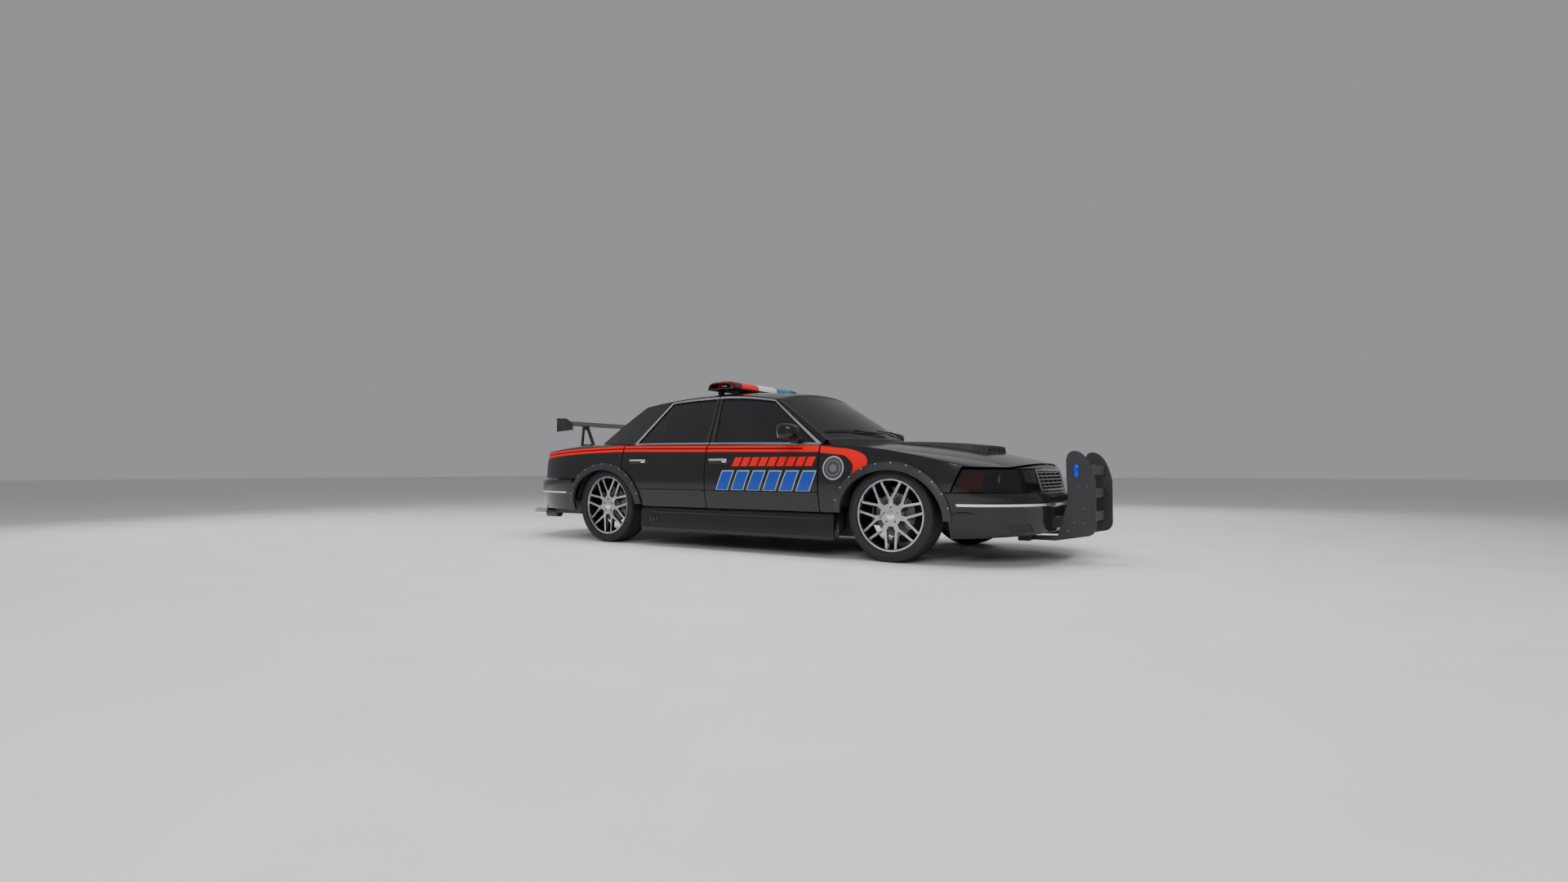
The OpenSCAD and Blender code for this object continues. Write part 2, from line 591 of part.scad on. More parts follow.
// Rear bumper: rows of [height, length of the tail]
rear_rows = [[292, 900], [330, 918], [400, 925], [470, 925], [540, 916], [572, 900], [584, 832]];
module rear_bumper() {
    function skin(u, row, inset) =
        let (
            z = row[0],
            end = -arch_rear_x + arch_d(z, arch_a, arch_b) + (inset > 0 ? 10 : 0),
            w = acos(pow(clamp((max(end, tail_start + 4) - tail_start) / tail_len, 0, 1), plan_m / 2)) * u,
            b = section(z) - inset
        )
        [
            -tail_start - (row[1] - inset) * pow(cos(w), 2 / plan_m),
            -sign(w) * b * pow(abs(sin(w)), 2 / plan_n),
            z
        ];
    color("#121214") shell(
        [for (row = rear_rows) [for (u = bumper_cols) skin(u, row, 0)]],
        [for (row = rear_rows) [for (u = bumper_cols)
            skin(u, [clamp(row[0], 300, 566), min(row[1], 900)], 30)]]
    );
}
// Tail lamps on the rear corners
module tail_lamp() {
    rows = [592, 640, 700, 760, 812];
    cols = steps(0, 1, 10);
    function skin(u, z, inset) =
        let (
            a = mix(820, 750, (z - 590) / 230),
            w1 = acos(pow((-quarter_rear_x + 6 - tail_start) / a, plan_m / 2)),
            w0 = asin(pow((lid_half + gap) / section(z), plan_n / 2)),
            w = mix(w0, w1, u),
            b = section(z) - inset
        )
        [-tail_start - (a - inset) * pow(cos(w), 2 / plan_m), -b * pow(sin(w), 2 / plan_n), z];
    shell(
        [for (z = rows) [for (u = cols) skin(u, z, 0)]],
        [for (z = rows) [for (u = cols) skin(clamp(u, 0.07, 0.94), z, lamp_depth)]]
    );
}
module tail_lamps() color("#401014") both_sides() tail_lamp();

// Flare round a wheel arch: k turns from the rear foot to the front foot, w from the edge to the lip
module flare(middle, low, high) {
    cols = steps(low, high, 22);
    rows = [0, 0.25, 0.55, 0.85, 1];
    function skin(k, w, out) =
        let (
            x = middle - mix(flare_a, lip_a, w) * cos(k),
            z = wheel_z + mix(flare_b, lip_b, w) * (k < 0 || k > 180 ? 1.1 * sin(k) : sin(k))
        )
        [x, -side_h(x, z) - 0.5 - out * (w == 0 ? 4 : mix(14, 28, sin(90 * w))), z];
    shell(
        [for (w = [1, 0.85, 0.55, 0.25, 0]) [for (k = cols) skin(k, w, 1)]],
        [for (w = [1, 0.85, 0.55, 0.25, 0]) [for (k = cols) skin(k, w, 0)]]
    );
}
module wheel_flares() color("#1d1e20") both_sides() {
    flare(arch_front_x, 2, 184);
    flare(arch_rear_x, 2, 176);
}
// Skirts under the doors
module side_skirts() color("#1a1b1d") both_sides()
    translate([arch_rear_x + flare_a + 4, 0, 0]) rotate([90, 0, 90])
        linear_extrude(arch_front_x - arch_rear_x - 2 * flare_a - 8)
            polygon([[-880, 346], [-948, 346], [-966, 330], [-972, 170], [-958, 142], [-880, 150]]);

// Inner face of the tail lamp, where the trunk's side wall carries it
lamp_depth = 45;
function lamp_back(y, z) =
    let (a = mix(820, 750, (z - 590) / 230))
    tail_x(y * section(z) / (section(z) - lamp_depth), z, a - lamp_depth);
// Floor, sills, firewall, trunk floor and the shelf behind the rear seat
module floor_pan() color("#202124") {
    wall_y = lid_half + 18;
    block([-960, -880, 206], [930, 880, 226]);
    for (s = [-1, 1]) scale([1, s, 1]) {
        block([-930, 790, 206], [1010, 879.5, 340]);
        block([-2430, wall_y, 499], [-960, wall_y + 12, 760]);
        block([lamp_back(wall_y + 12, 704) + 0.8, wall_y, 696], [-2429, wall_y + 12, 704]);
        block([930, 505, 560], [2180, 515, 690]);
    }
    block([930, -765, 206], [945, 765, 818]);
    block([-985, -630, 206], [-960, 630, 760]);
    block([-2480, -wall_y - 12, 480], [-960, wall_y + 12, 500]);
    block([-1720, -620, 740], [-960, 620, 760]);
    block([-2500, -590, 480], [-2480, 590, 590]);
}
// Perimeter frame with its crossmembers, front horns and jacking pads
module frame_rails() color("#1b1c1e") {
    for (s = [-1, 1]) scale([1, s, 1]) {
        block([-1050, 560, 150], [1010, 640, 205.5]);
        block([950, 350, 150], [1010, 640, 340]);
        block([950, 350, 260], [2330, 430, 340]);
        block([2250, 285, 165], [2330, 430, 340]);
        block([-1050, 480, 150], [-990, 640, 440]);
        block([-2560, 480, 395], [-990, 560, 470]);
        for (x = [-800, 800]) translate([x, 600, 140]) cylinder(h = 12, r = 35, $fn = fine);
    }
    for (x = [-500, 400]) block([x, -600, 155], [x + 60, 600, 200]);
    for (x = [1380, 2200]) block([x, -400, 270], [x + 60, 400, 340]);
    block([-2520, -520, 400], [-2460, 520, 460]);
}
// Engine as one plain block between the front rails
module engine_block() color("#3a3b3d") block([1120, -300, 340.5], [1760, 300, 760]);

// Lower and upper arms, which hold the knuckles' king pins
pin_r = 12;
module arm(z, h, root) {
    difference() {
        linear_extrude_at(z, h)
            polygon([[-90, -root], [90, -root], [30, -wheel_y + 20], [-30, -wheel_y + 20]]);
        translate([0, -wheel_y, z - 1]) cylinder(h = h + 2, r = pin_r + 9, $fn = fine);
    }
    difference() {
        translate([0, -wheel_y, z]) cylinder(h = h, r = pin_r + 18, $fn = fine);
        translate([0, -wheel_y, z - 1]) cylinder(h = h + 2, r = pin_r + 0.05, $fn = fine);
    }
}
module linear_extrude_at(z, h) translate([0, 0, z]) linear_extrude(h) children();
module front_suspension() color("#2a2b2d") both_sides() translate([axle_x, 0, 0]) {
    arm(136, 22, 440);
    arm(530, 18, 440);
    block([-90, -480, 136], [90, -430.5, 548]);
}
// Knuckle with its king pin ends, stub axle and brake caliper, local to the wheel's middle
module knuckle(side) {
    translate([axle_x, -side * wheel_y, wheel_z]) scale([1, side, 1]) {
        block([-32, 62, -184], [32, 84, 184]);
        for (z = [-184, 166]) {
            block([-26, 0, z], [26, 84, z + 18]);
            translate([0, 0, z]) cylinder(h = 18, r = 26, $fn = fine);
        }
        translate([0, 0, -208]) cylinder(h = 30, r = pin_r, $fn = fine);
        translate([0, 0, 178]) cylinder(h = 24, r = pin_r, $fn = fine);
        rotate([90, 0, 0]) translate([0, 0, -70]) cylinder(h = 76, r = 30, $fn = fine);
        block([-175, 40, -50], [-110, 66, 50]);
        block([-186, -22, -50], [-168, 66, 50]);
        block([-120, 62, -30], [0, 84, 30]);
    }
}
module knuckle_right() color("#303134") knuckle(1);
module knuckle_left() color("#303134") knuckle(-1);
// Live rear axle with its differential, spring seats and stub ends
module rear_axle() color("#2a2b2d") translate([-axle_x, 0, wheel_z]) {
    rotate([90, 0, 0]) cylinder(h = 2 * wheel_y - 170, r = 38, center = true, $fn = fine);
    rotate([90, 0, 0]) cylinder(h = 2 * wheel_y - 12, r = 30, center = true, $fn = fine);
    sphere(r = 118, $fn = 32);
    for (y = [-520, 520]) translate([0, y, 20]) cylinder(h = 395 - wheel_z - 20.5, r = 45, $fn = fine);
}

// Wheel about its own axis, with its outer face up: rim, forked spokes, hub and brake disc
module wheel() {
    rotate_extrude($fn = 96) polygon([
        [rim_r, -112], [rim_r - 9, -98], [rim_r - 15, -60], [rim_r - 15, 50], [rim_r - 10, 85], [rim_r, 95],
        [rim_r, 103], [rim_r - 12, 103], [rim_r - 21, 84], [rim_r - 24, 50], [rim_r - 24, -60],
        [rim_r - 18, -100], [rim_r - 9, -112]
    ]);
    translate([0, 0, 52]) linear_extrude(36) difference() {
        union() {
            circle(r = 84, $fn = fine);
            for (i = [0 : spokes - 1]) rotate(90 + i * 360 / spokes) {
                translate([60, -18]) square([74, 36]);
                for (s = [-1, 1])
                    translate([118, s * 8]) rotate(s * 29) translate([-6, -9]) square([144, 18]);
            }
        }
        for (i = [0 : 4]) rotate(90 + i * 72) translate([57, 0]) circle(r = 9, $fn = 24);
    }
    translate([0, 0, 20]) cylinder(h = 34, r = 78, $fn = fine);
    difference() {
        union() {
            translate([0, 0, -20]) cylinder(h = 26, r = disc_r, $fn = 64);
            translate([0, 0, -20]) cylinder(h = 39.7, r = 78, $fn = fine);
        }
        translate([0, 0, -21]) cylinder(h = 28, r = 30.05, $fn = fine);
    }
}
// Tyre about its own axis
module tyre() {
    h = tyre_w / 2;
    rotate_extrude($fn = 96) polygon([
        [rim_r + 0.4, -108], [rim_r + 6, 7 - h], [rim_r + 33, -h], [tyre_r - 22, 4 - h], [tyre_r - 7, 16 - h],
        [tyre_r, 42 - h], [tyre_r, h - 42], [tyre_r - 7, h - 16], [tyre_r - 22, h - 4], [rim_r + 33, h],
        [rim_r + 6, h - 9], [rim_r + 0.4, 100]
    ]);
}
// Its child at one wheel: end 1 front or -1 rear, side 1 right or -1 left
module at_wheel(end, side)
    translate([end * axle_x, -side * wheel_y, wheel_z]) rotate([side * 90, 0, 0]) children();
module wheel_front_right() color("#b8bbc0") at_wheel(1, 1) wheel();
module wheel_front_left() color("#b8bbc0") at_wheel(1, -1) wheel();
module wheel_rear_right() color("#b8bbc0") at_wheel(-1, 1) wheel();
module wheel_rear_left() color("#b8bbc0") at_wheel(-1, -1) wheel();
module tyre_front_right() color("#161616") at_wheel(1, 1) tyre();
module tyre_front_left() color("#161616") at_wheel(1, -1) tyre();
module tyre_rear_right() color("#161616") at_wheel(-1, 1) tyre();
module tyre_rear_left() color("#161616") at_wheel(-1, -1) tyre();

// Mufflers with their pipes and tips under the rear bumper
module exhaust() color("#6a6c70") both_sides() {
    block([-2340, -760, 240], [-axle_x - tyre_r - 158, -580, 380]);
    difference() {
        translate([-2320, -720, 240]) rotate([0, -90, 0]) cylinder(h = 330, r = 42, $fn = fine);
        translate([-2500, -720, 240]) rotate([0, -90, 0]) cylinder(h = 160, r = 38, $fn = fine);
    }
    block([-2300, -640, 379], [-2240, -560.5, 440]);
}
// Side profile of a seat or bench, extruded over its width about y
module seat_form(y, width, profile)
    translate([0, y + width / 2, 0]) rotate([90, 0, 0]) linear_extrude(width) polygon(profile);
// Two front seats with head restraints, and the rear bench
module seats() color("#26272a") {
    seat_z = 226.5;
    for (y = [-380, 380]) {
        seat_form(y, 500, [[-190, seat_z], [330, seat_z], [356, 430], [330, 482], [60, 462], [-104, 470],
            [-250, 1030], [-300, 1040], [-366, 1004], [-222, 400]]);
        seat_form(y, 260, [[-262, 1010], [-280, 1170], [-310, 1190], [-362, 1176], [-345, 1002]]);
    }
    seat_form(0, 1200, [[-895, seat_z], [-490, seat_z], [-470, 410], [-500, 450], [-715, 440], [-858, 884],
        [-900, 892], [-955, 850], [-830, 420], [-895, 420]]);
}
// Dashboard with the steering column
module dashboard() color("#1e1f21") {
    translate([0, 740, 0]) rotate([90, 0, 0]) linear_extrude(1480)
        polygon([[929.5, 480], [700, 520], [640, 640], [680, 800], [740, 822], [880, 822], [929.5, 700]]);
    translate([700, 380, 660]) rotate([0, -68, 0]) cylinder(h = 229, r = 28, $fn = 24);
}
module steering_wheel() color("#141415") translate([478, 380, 750]) rotate([0, -68, 0]) {
    rotate_extrude($fn = 64) translate([178, 0]) circle(r = 13, $fn = 20);
    translate([0, 0, -10]) cylinder(h = 20, r = 60, $fn = fine);
    for (a = [0, 120, 240]) rotate(a) block([40, -14, -7], [176, 14, 7]);
}
// Light bar on its four feet
module light_bar_base() color("#17181a") {
    block([bar_x - 140, -bar_half, bar_z], [bar_x + 140, bar_half, bar_z + 14]);
    for (s = [-1, 1]) for (x = [bar_x - 100, bar_x + 60]) {
        half = glass_h(x, rail_z(x));
        translate([x, 0, 0]) rotate([90, 0, 90]) linear_extrude(40)
            polygon([
                for (y = [405, 430, 455]) [s * y, roof_h(bar_x, y / half) - 0.8],
                [s * 455, bar_z + 1], [s * 405, bar_z + 1]
            ]);
    }
}
// Domes of the light bar: a table of [from y, to y]
module light_bar_lenses() {
    colours = ["#c01018", "#d8dce0", "#1040a0"];
    spans = [[-bar_half, -170], [-168, 168], [170, bar_half]];
    for (i = [0 : 2]) color(colours[i])
        translate([bar_x, spans[i][1], bar_z + 14.3]) rotate([90, 0, 0])
            linear_extrude(spans[i][1] - spans[i][0])
                polygon([
                    [-150, 0], [150, 0], [146, 30], [110, 58], [40, 64], [-40, 64], [-110, 58], [-146, 30]
                ]);
}
// Push bar: two shaped plates, their cross brackets and the arms back to the frame
module push_bar() color("#1c1d20") {
    top = [for (t = steps(0, 1, 8)) bend([-200, 740], [-192, 818], [-135, 812], t)];
    nose = [for (t = steps(0, 1, 8)) bend([-135, 812], [-40, 800], [0, 590], t)];
    foot = [for (t = steps(0, 1, 6)) bend([0, 275], [-6, 210], [-70, 204], t)];
    heel = [for (t = steps(0, 1, 6)) bend([-262, 205], [-230, 320], [-190, 463], t)];
    outline = concat(top, nose, foot, [[-277, 166]]);
    for (s = [-1, 1]) translate([push_front_x, s * push_half + 6, 0]) rotate([90, 0, 0]) linear_extrude(12)
        polygon(concat(
            outline, [[2330.5 - push_front_x, 166], [2330.5 - push_front_x, 200]], heel, [[-197, 599]]
        ));
    for (z = [300, 470, 640])
        block([push_front_x - 60, -push_half, z], [push_front_x - 48, push_half, z + 70]);
}
// Wing with its end plates and two truss struts on the trunk lid
module rear_wing() color("#141416") {
    translate([0, wing_half, 0]) rotate([90, 0, 0]) linear_extrude(2 * wing_half)
        polygon([[wing_x + 95, 1128], [wing_x + 60, 1142], [wing_x - 40, 1160], [wing_x - 110, 1184],
            [wing_x - 108, 1170], [wing_x - 40, 1140], [wing_x + 60, 1122]]);
    for (s = [-1, 1]) {
        translate([0, s * (wing_half + 3) + 3, 0]) rotate([90, 0, 0]) linear_extrude(6)
            polygon([[wing_x + 118, 1080], [wing_x + 110, 1150], [wing_x + 20, 1200], [wing_x - 122, 1207],
                [wing_x - 122, 1066]]);
        y = s * 420;
        translate([0, y + 6, 0]) rotate([90, 0, 0]) linear_extrude(12) difference() {
            polygon(concat(
                [for (x = steps(wing_x + 150, wing_x - 70, 10)) [x, lid_at(x, 414) + 0.6]],
                [[wing_x - 40, 1150], [wing_x + 40, 1135]]
            ));
            polygon([[wing_x + 95, lid_at(wing_x, 420) + 45], [wing_x - 35, lid_at(wing_x, 420) + 45],
                [wing_x - 18, 1095], [wing_x + 22, 1090]]);
        }
    }
}

frame_rails();
floor_pan();
pillars();
roof_panel();
quarter_panels();
front_fenders();
cowl_panel();
rear_deck();
front_bumper();
rear_bumper();
grille();
headlamps();
tail_lamps();
windshield();
rear_window();
wheel_flares();
side_skirts();
exhaust();
engine_block();
front_suspension();
rear_axle();
seats();
dashboard();
steering_wheel();
light_bar_base();
light_bar_lenses();
push_bar();
front_door_right();
front_door_left();
rear_door_right();
rear_door_left();
front_glass_right();
front_glass_left();
rear_glass_right();
rear_glass_left();
mirror_right();
mirror_left();
hood();
hood_scoop();
trunk_lid();
rear_wing();
knuckle_right();
knuckle_left();
wheel_front_right();
wheel_front_left();
wheel_rear_right();
wheel_rear_left();
tyre_front_right();
tyre_front_left();
tyre_rear_right();
tyre_rear_left();
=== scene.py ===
"""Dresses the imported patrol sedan: paint, trim, glass, lamps, wheels, seats, floor, light and camera."""

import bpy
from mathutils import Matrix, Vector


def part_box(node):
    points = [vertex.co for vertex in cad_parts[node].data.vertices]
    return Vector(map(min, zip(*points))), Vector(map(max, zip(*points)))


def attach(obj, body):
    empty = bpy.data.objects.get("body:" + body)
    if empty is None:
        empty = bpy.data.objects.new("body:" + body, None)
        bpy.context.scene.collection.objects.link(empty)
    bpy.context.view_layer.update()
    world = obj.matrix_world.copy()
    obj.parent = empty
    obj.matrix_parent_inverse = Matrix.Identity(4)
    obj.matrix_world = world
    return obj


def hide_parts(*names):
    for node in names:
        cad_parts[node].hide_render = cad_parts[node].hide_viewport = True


bl_info = {
    "name": "Patrol sedan",
    "version": (1, 0, 0),
    "blender": (4, 5, 0),
    "location": "View3D > Sidebar > Sedan",
    "description": "Panels, trim, glass, lamps and wheels of a full-size patrol sedan on its packed frame",
    "category": "Object",
}

from collections import namedtuple
from math import pi, radians

import bmesh
import bpy
import numpy as np

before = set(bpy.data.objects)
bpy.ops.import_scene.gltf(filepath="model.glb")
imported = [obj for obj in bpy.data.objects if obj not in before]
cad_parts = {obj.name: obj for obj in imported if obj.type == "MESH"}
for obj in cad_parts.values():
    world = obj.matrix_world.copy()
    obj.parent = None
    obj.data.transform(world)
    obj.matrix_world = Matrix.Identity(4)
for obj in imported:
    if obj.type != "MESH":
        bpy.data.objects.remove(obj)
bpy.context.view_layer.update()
MM = 0.001

# Sizes of the frame in millimetres, measured on its nodes or named as in the part's source
TYRE_LOW, TYRE_HIGH = (np.array(corner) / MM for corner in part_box("tyre_front_right"))
AXLE_X = (TYRE_LOW[0] + TYRE_HIGH[0]) / 2
WHEEL_Y = -(TYRE_LOW[1] + TYRE_HIGH[1]) / 2
WHEEL_Z = (TYRE_LOW[2] + TYRE_HIGH[2]) / 2
TYRE_R = (TYRE_HIGH[2] - TYRE_LOW[2]) / 2
TYRE_W = TYRE_HIGH[1] - TYRE_LOW[1]
RIM_R = 267
GAP = 6
SIDES = {"right": 1, "left": -1}

# Plan outline, side section and shoulder
SIDE_MAX, SIDE_MID_Z, SIDE_R = 990, 600, 870
NOSE_START, NOSE_LEN, TAIL_START, TAIL_LEN = 1800, 720, 1840, 925
PLAN_N, PLAN_M = 3, 2.2
BELT_FRONT_Z, BELT_RISE, FENDER_DROP, QUARTER_DROP = 868, 0.0126, 154, 50
BELT_REAR_X, FENDER_RUN, QUARTER_RUN = -1165, 1136, 1100
FENDER_LOW_X, FENDER_TOP_X, QUARTER_X, QUARTER_TOP_X = 1945, 2029, -2283, -2500

# Windows, pillars and roof
GLASS_HALF, TUMBLE, GLASS_BOW, WINDOW_TOP_Z, ROOF_Z, FRAME_W = 930, 0.56, 100, 1300, 1392, 24
GLASS_FOOT_Z, GLASS_MID_X, GLASS_RUN = 880, -350, 1000
WINDOW_MID_X, WINDOW_FALL, WINDOW_FRONT_RUN, WINDOW_REAR_RUN = -250, 70, 620, 1000
SHIELD_X, SHIELD_Z, SHIELD_HEAD_X, SHIELD_HEAD_BOW = 845, 912, 322, 60
BACK_X, BACK_Z, BACK_HEAD_X, BACK_BOW = -1690, 925, -1192, 45
CORNER_Z, PILLAR_SET_BACK = 918, 6.9
ROOF_MID_X, ROOF_FALL, ROOF_RUN, ROOF_POWER = -400, 45, 700, 2.4
ROOF_REAR_X, ROOF_FRONT_X = -1188, 318

# Doors, hood, trunk lid and the nose under the hood
DOOR_FRONT_X, DOOR_SPLIT_X, DOOR_REAR_X, DOOR_BOTTOM_Z, DOOR_T, FRAME_T = 893, -216, -1190, 352, 80, 26
HOOD_Z0, HOOD_FALL, HOOD_NOSE = 905, 86, 92
HOOD_REAR_X, HOOD_REAR_BOW, HOOD_REAR_HALF, HOOD_FRONT_HALF = 1085, 195, 768, 640
HOOD_CROWN, HOOD_NOSE_LEN, HOOD_EDGE_Z = 38, 540, 700
SCOOP_X, SCOOP_LEN, SCOOP_HALF = 1165, 800, 250
LID_Z0, LID_HALF, LID_FRONT_X, LID_CROWN = 945, 600, -1790, 20
LID_EDGE_LEN, LID_FOOT_LEN, LID_EDGE_Z, LID_FOOT_Z = 730, 820, 850, 604
UPPER_NOSE_FOOT, UPPER_NOSE_TOP, UPPER_NOSE_Z, UPPER_NOSE_HEIGHT = 610, 555, 530, 190

# Wheel arches, flares and the flares' lips
ARCH_FRONT_X, ARCH_REAR_X = AXLE_X + 30, -AXLE_X + 40
ARCH_A, ARCH_B, FLARE_A, FLARE_B, LIP_A, LIP_B = 430, 372, 462, 394, 405, 330

# Push bar and light bar
PUSH_FRONT_X, PUSH_HALF, BAR_X, BAR_HALF, BAR_Z = 2765, 305, -388, 560, 1400


# Formulas of the body's surfaces


def mix(a, b, t):
    """Value between a and b."""
    return a + (b - a) * t


def stack(x, y, z):
    """Grid of points from three arrays that fit together."""
    return np.stack(np.broadcast_arrays(x, y, z), -1).astype(float)


def plan(x):
    """Share of the full width left at x: one in the middle, super-ellipses at nose and tail."""
    nose = np.clip((x - NOSE_START) / NOSE_LEN, 0, 1)
    tail = np.clip((-x - TAIL_START) / TAIL_LEN, 0, 1)
    return (1 - np.maximum(nose, tail) ** PLAN_M) ** (1 / PLAN_N)


def section(z):
    """Half width of the body at height z: a parabola about the widest height."""
    return SIDE_MAX - (z - SIDE_MID_Z) ** 2 / (2 * SIDE_R)


def side_h(x, z):
    """Half width of the lower body: section times plan."""
    return section(z) * plan(x)


def end_x(y, z, start, length):
    """Distance from the middle to the rounded end at half width y: the plan's super-ellipse solved for x."""
    share = np.minimum(1, np.abs(y) / section(z)) ** PLAN_N
    return start + length * (1 - share) ** (1 / PLAN_M)


def belt_z(x):
    """Shoulder height: a straight rise to the rear with a parabola down over the fender and the quarter."""
    ahead = np.maximum(x - DOOR_FRONT_X, 0)
    behind = np.maximum(BELT_REAR_X - x, 0)
    level = BELT_FRONT_Z - (x - DOOR_FRONT_X) * BELT_RISE
    drop = FENDER_DROP * (ahead / FENDER_RUN) ** 2 + QUARTER_DROP * (behind / QUARTER_RUN) ** 2
    return level - drop - behind * BELT_RISE


def window_z(x):
    """Upper edge of the side windows: two parabolas that meet at the top."""
    away = x - WINDOW_MID_X
    return WINDOW_TOP_Z - WINDOW_FALL * (away / np.where(away > 0, WINDOW_FRONT_RUN, WINDOW_REAR_RUN)) ** 2


def glass_h(x, z):
    """Half width of the greenhouse: a straight lean in height and a parabola in plan."""
    return GLASS_HALF - TUMBLE * (z - GLASS_FOOT_Z) - GLASS_BOW * ((x - GLASS_MID_X) / GLASS_RUN) ** 2


def rail_z(x):
    """Height of the roof's side edge."""
    return window_z(x) + FRAME_W + GAP - 2


def roof_h(x, v):
    """Height of the roof at share v of its half width: a crown that falls with a power of |v|."""
    crown = ROOF_Z - ROOF_FALL * ((x - ROOF_MID_X) / ROOF_RUN) ** 2
    return rail_z(x) + (crown - rail_z(x)) * (1 - np.abs(v) ** ROOF_POWER)


def arch_z(d, a, b):
    """Height of a half ellipse of axes a and b about the wheel, at distance d from its middle."""
    return WHEEL_Z + b * np.sqrt(np.maximum(0, 1 - (d / a) ** 2))


def arch_d(z, a, b):
    """Distance of that ellipse from its middle at height z."""
    return a * np.sqrt(np.maximum(0, 1 - (np.maximum(0, z - WHEEL_Z) / b) ** 2))


def arc(v):
    """Parabola across the car: one in the middle and nothing at the sides."""
    return 1 - v * v


def upward(height):
    """Shifts straight up, by each point's own height."""
    return stack(0, 0, height)


def bend(a, b, c, t):
    """Quadratic curve from a to c that leans towards b."""
    t = t[..., None]
    return (1 - t) ** 2 * a + 2 * t * (1 - t) * b + t**2 * c


def spaced(values):
    """Even steps where a tuple gives start, end and count, or else the values themselves."""
    return np.linspace(*values) if isinstance(values, tuple) else np.asarray(values, float)


def grid(rows, cols):
    """Two arrays of parameters: one row value and one column value for each point."""
    return np.meshgrid(spaced(rows), spaced(cols), indexing="ij")


# A door's rear and front x at the belt, at the glass base and on top
Door = namedtuple("Door", "belt_rear belt_front base_rear base_front top_rear top_front")
DOORS = {
    "front": Door(DOOR_SPLIT_X + GAP / 2, DOOR_FRONT_X, DOOR_SPLIT_X + GAP / 2, 824, -280 + GAP / 2, 297),
    "rear": Door(DOOR_REAR_X, DOOR_SPLIT_X - GAP / 2, -1157, DOOR_SPLIT_X - GAP / 2, -833, -280 - GAP / 2),
}


def flare_edge(z):
    """Where the rear flare lets the rear door begin, at height z."""
    return ARCH_REAR_X + arch_d(z, FLARE_A + GAP, FLARE_B + GAP)


def door_low(d, u, t):
    """Door skin below the belt: u along it, t up from its lower edge; the rear door follows the flare."""
    z = mix(DOOR_BOTTOM_Z, belt_z(mix(d.belt_rear, d.belt_front, u)), t)
    back = np.full_like(z, d.belt_rear)
    if d.belt_rear == DOOR_REAR_X:
        back = np.maximum(back, flare_edge(z))
    x = mix(back, d.belt_front, u)
    return stack(x, -side_h(x, z), z)


def door_high(d, u, r):
    """Door skin beside its window: r up from the glass base to the frame's top edge."""
    bx = mix(d.base_rear, d.base_front, u)
    tx = mix(d.top_rear, d.top_front, u)
    x = mix(bx, tx, r)
    z = mix(belt_z(bx) + 14, window_z(tx) + FRAME_W, r)
    return stack(x, -glass_h(x, z), z)


def hood_half(s):
    """Half width of the hood at share s of its length."""
    return mix(HOOD_REAR_HALF, HOOD_FRONT_HALF, s)


def hood_rear(y):
    """Rear edge of the hood: a parabola across the car."""
    return HOOD_REAR_X - HOOD_REAR_BOW * (y / 788) ** 2


def hood_front(y):
    """Front edge of the hood, on the rounded nose."""
    return end_x(y, HOOD_EDGE_Z, NOSE_START, HOOD_NOSE_LEN)


def hood_h(s, y):
    """Height of the hood: a straight fall, a cubic fall to the nose and a parabola across."""
    return HOOD_Z0 - HOOD_FALL * s - HOOD_NOSE * s**3 - HOOD_CROWN * (y / 700) ** 2


def hood_point(s, v):
    """Hood skin at share s of its length and v of its half width."""
    y = v * hood_half(s)
    return stack(mix(hood_rear(y), hood_front(y), s), y, hood_h(s, y))


def hood_at(x, y):
    """Height of the hood above any place."""
    return hood_h((x - hood_rear(y)) / (hood_front(y) - hood_rear(y)), y)


def shield_base(v):
    """Foot of the windshield across the car."""
    half = glass_h(SHIELD_X, SHIELD_Z) - 2
    return stack(SHIELD_X + 205 * arc(v), v * half, SHIELD_Z + 14 * arc(v))


def shield_top(v):
    """Head of the windshield across the car."""
    half = glass_h(SHIELD_HEAD_X, rail_z(SHIELD_HEAD_X))
    return stack(SHIELD_HEAD_X + SHIELD_HEAD_BOW * arc(v), v * half, roof_h(SHIELD_HEAD_X, v) - 2)


def back_top(v):
    """Head of the rear window across the car."""
    half = glass_h(BACK_HEAD_X, rail_z(BACK_HEAD_X))
    return stack(BACK_HEAD_X - BACK_BOW * arc(v), v * half, roof_h(BACK_HEAD_X, v) - 2)


def back_base(v):
    """Foot of the rear window across the car."""
    return stack(BACK_X - BACK_BOW * arc(v), v * glass_h(BACK_X, BACK_Z), BACK_Z + 14 * arc(v))


def roof_skin(t, v):
    """Roof skin: t from the rear edge to the front edge, v across."""
    e = mix(ROOF_REAR_X, ROOF_FRONT_X, t)
    x = mix(ROOF_REAR_X - BACK_BOW * arc(v), ROOF_FRONT_X + SHIELD_HEAD_BOW * arc(v), t)
    return stack(x, v * glass_h(e, rail_z(e)), roof_h(e, v))


def shoulder(a, c, t):
    """Side point a up to t of one, then a rounded shoulder that ends at c at t of two."""
    b = stack(mix(a[..., 0], c[..., 0], 0.4), a[..., 1] + 14, mix(a[..., 2], c[..., 2], 0.85))
    return np.where((t <= 1)[..., None], a, bend(a, b, c, np.clip(t - 1, 0, 1)))


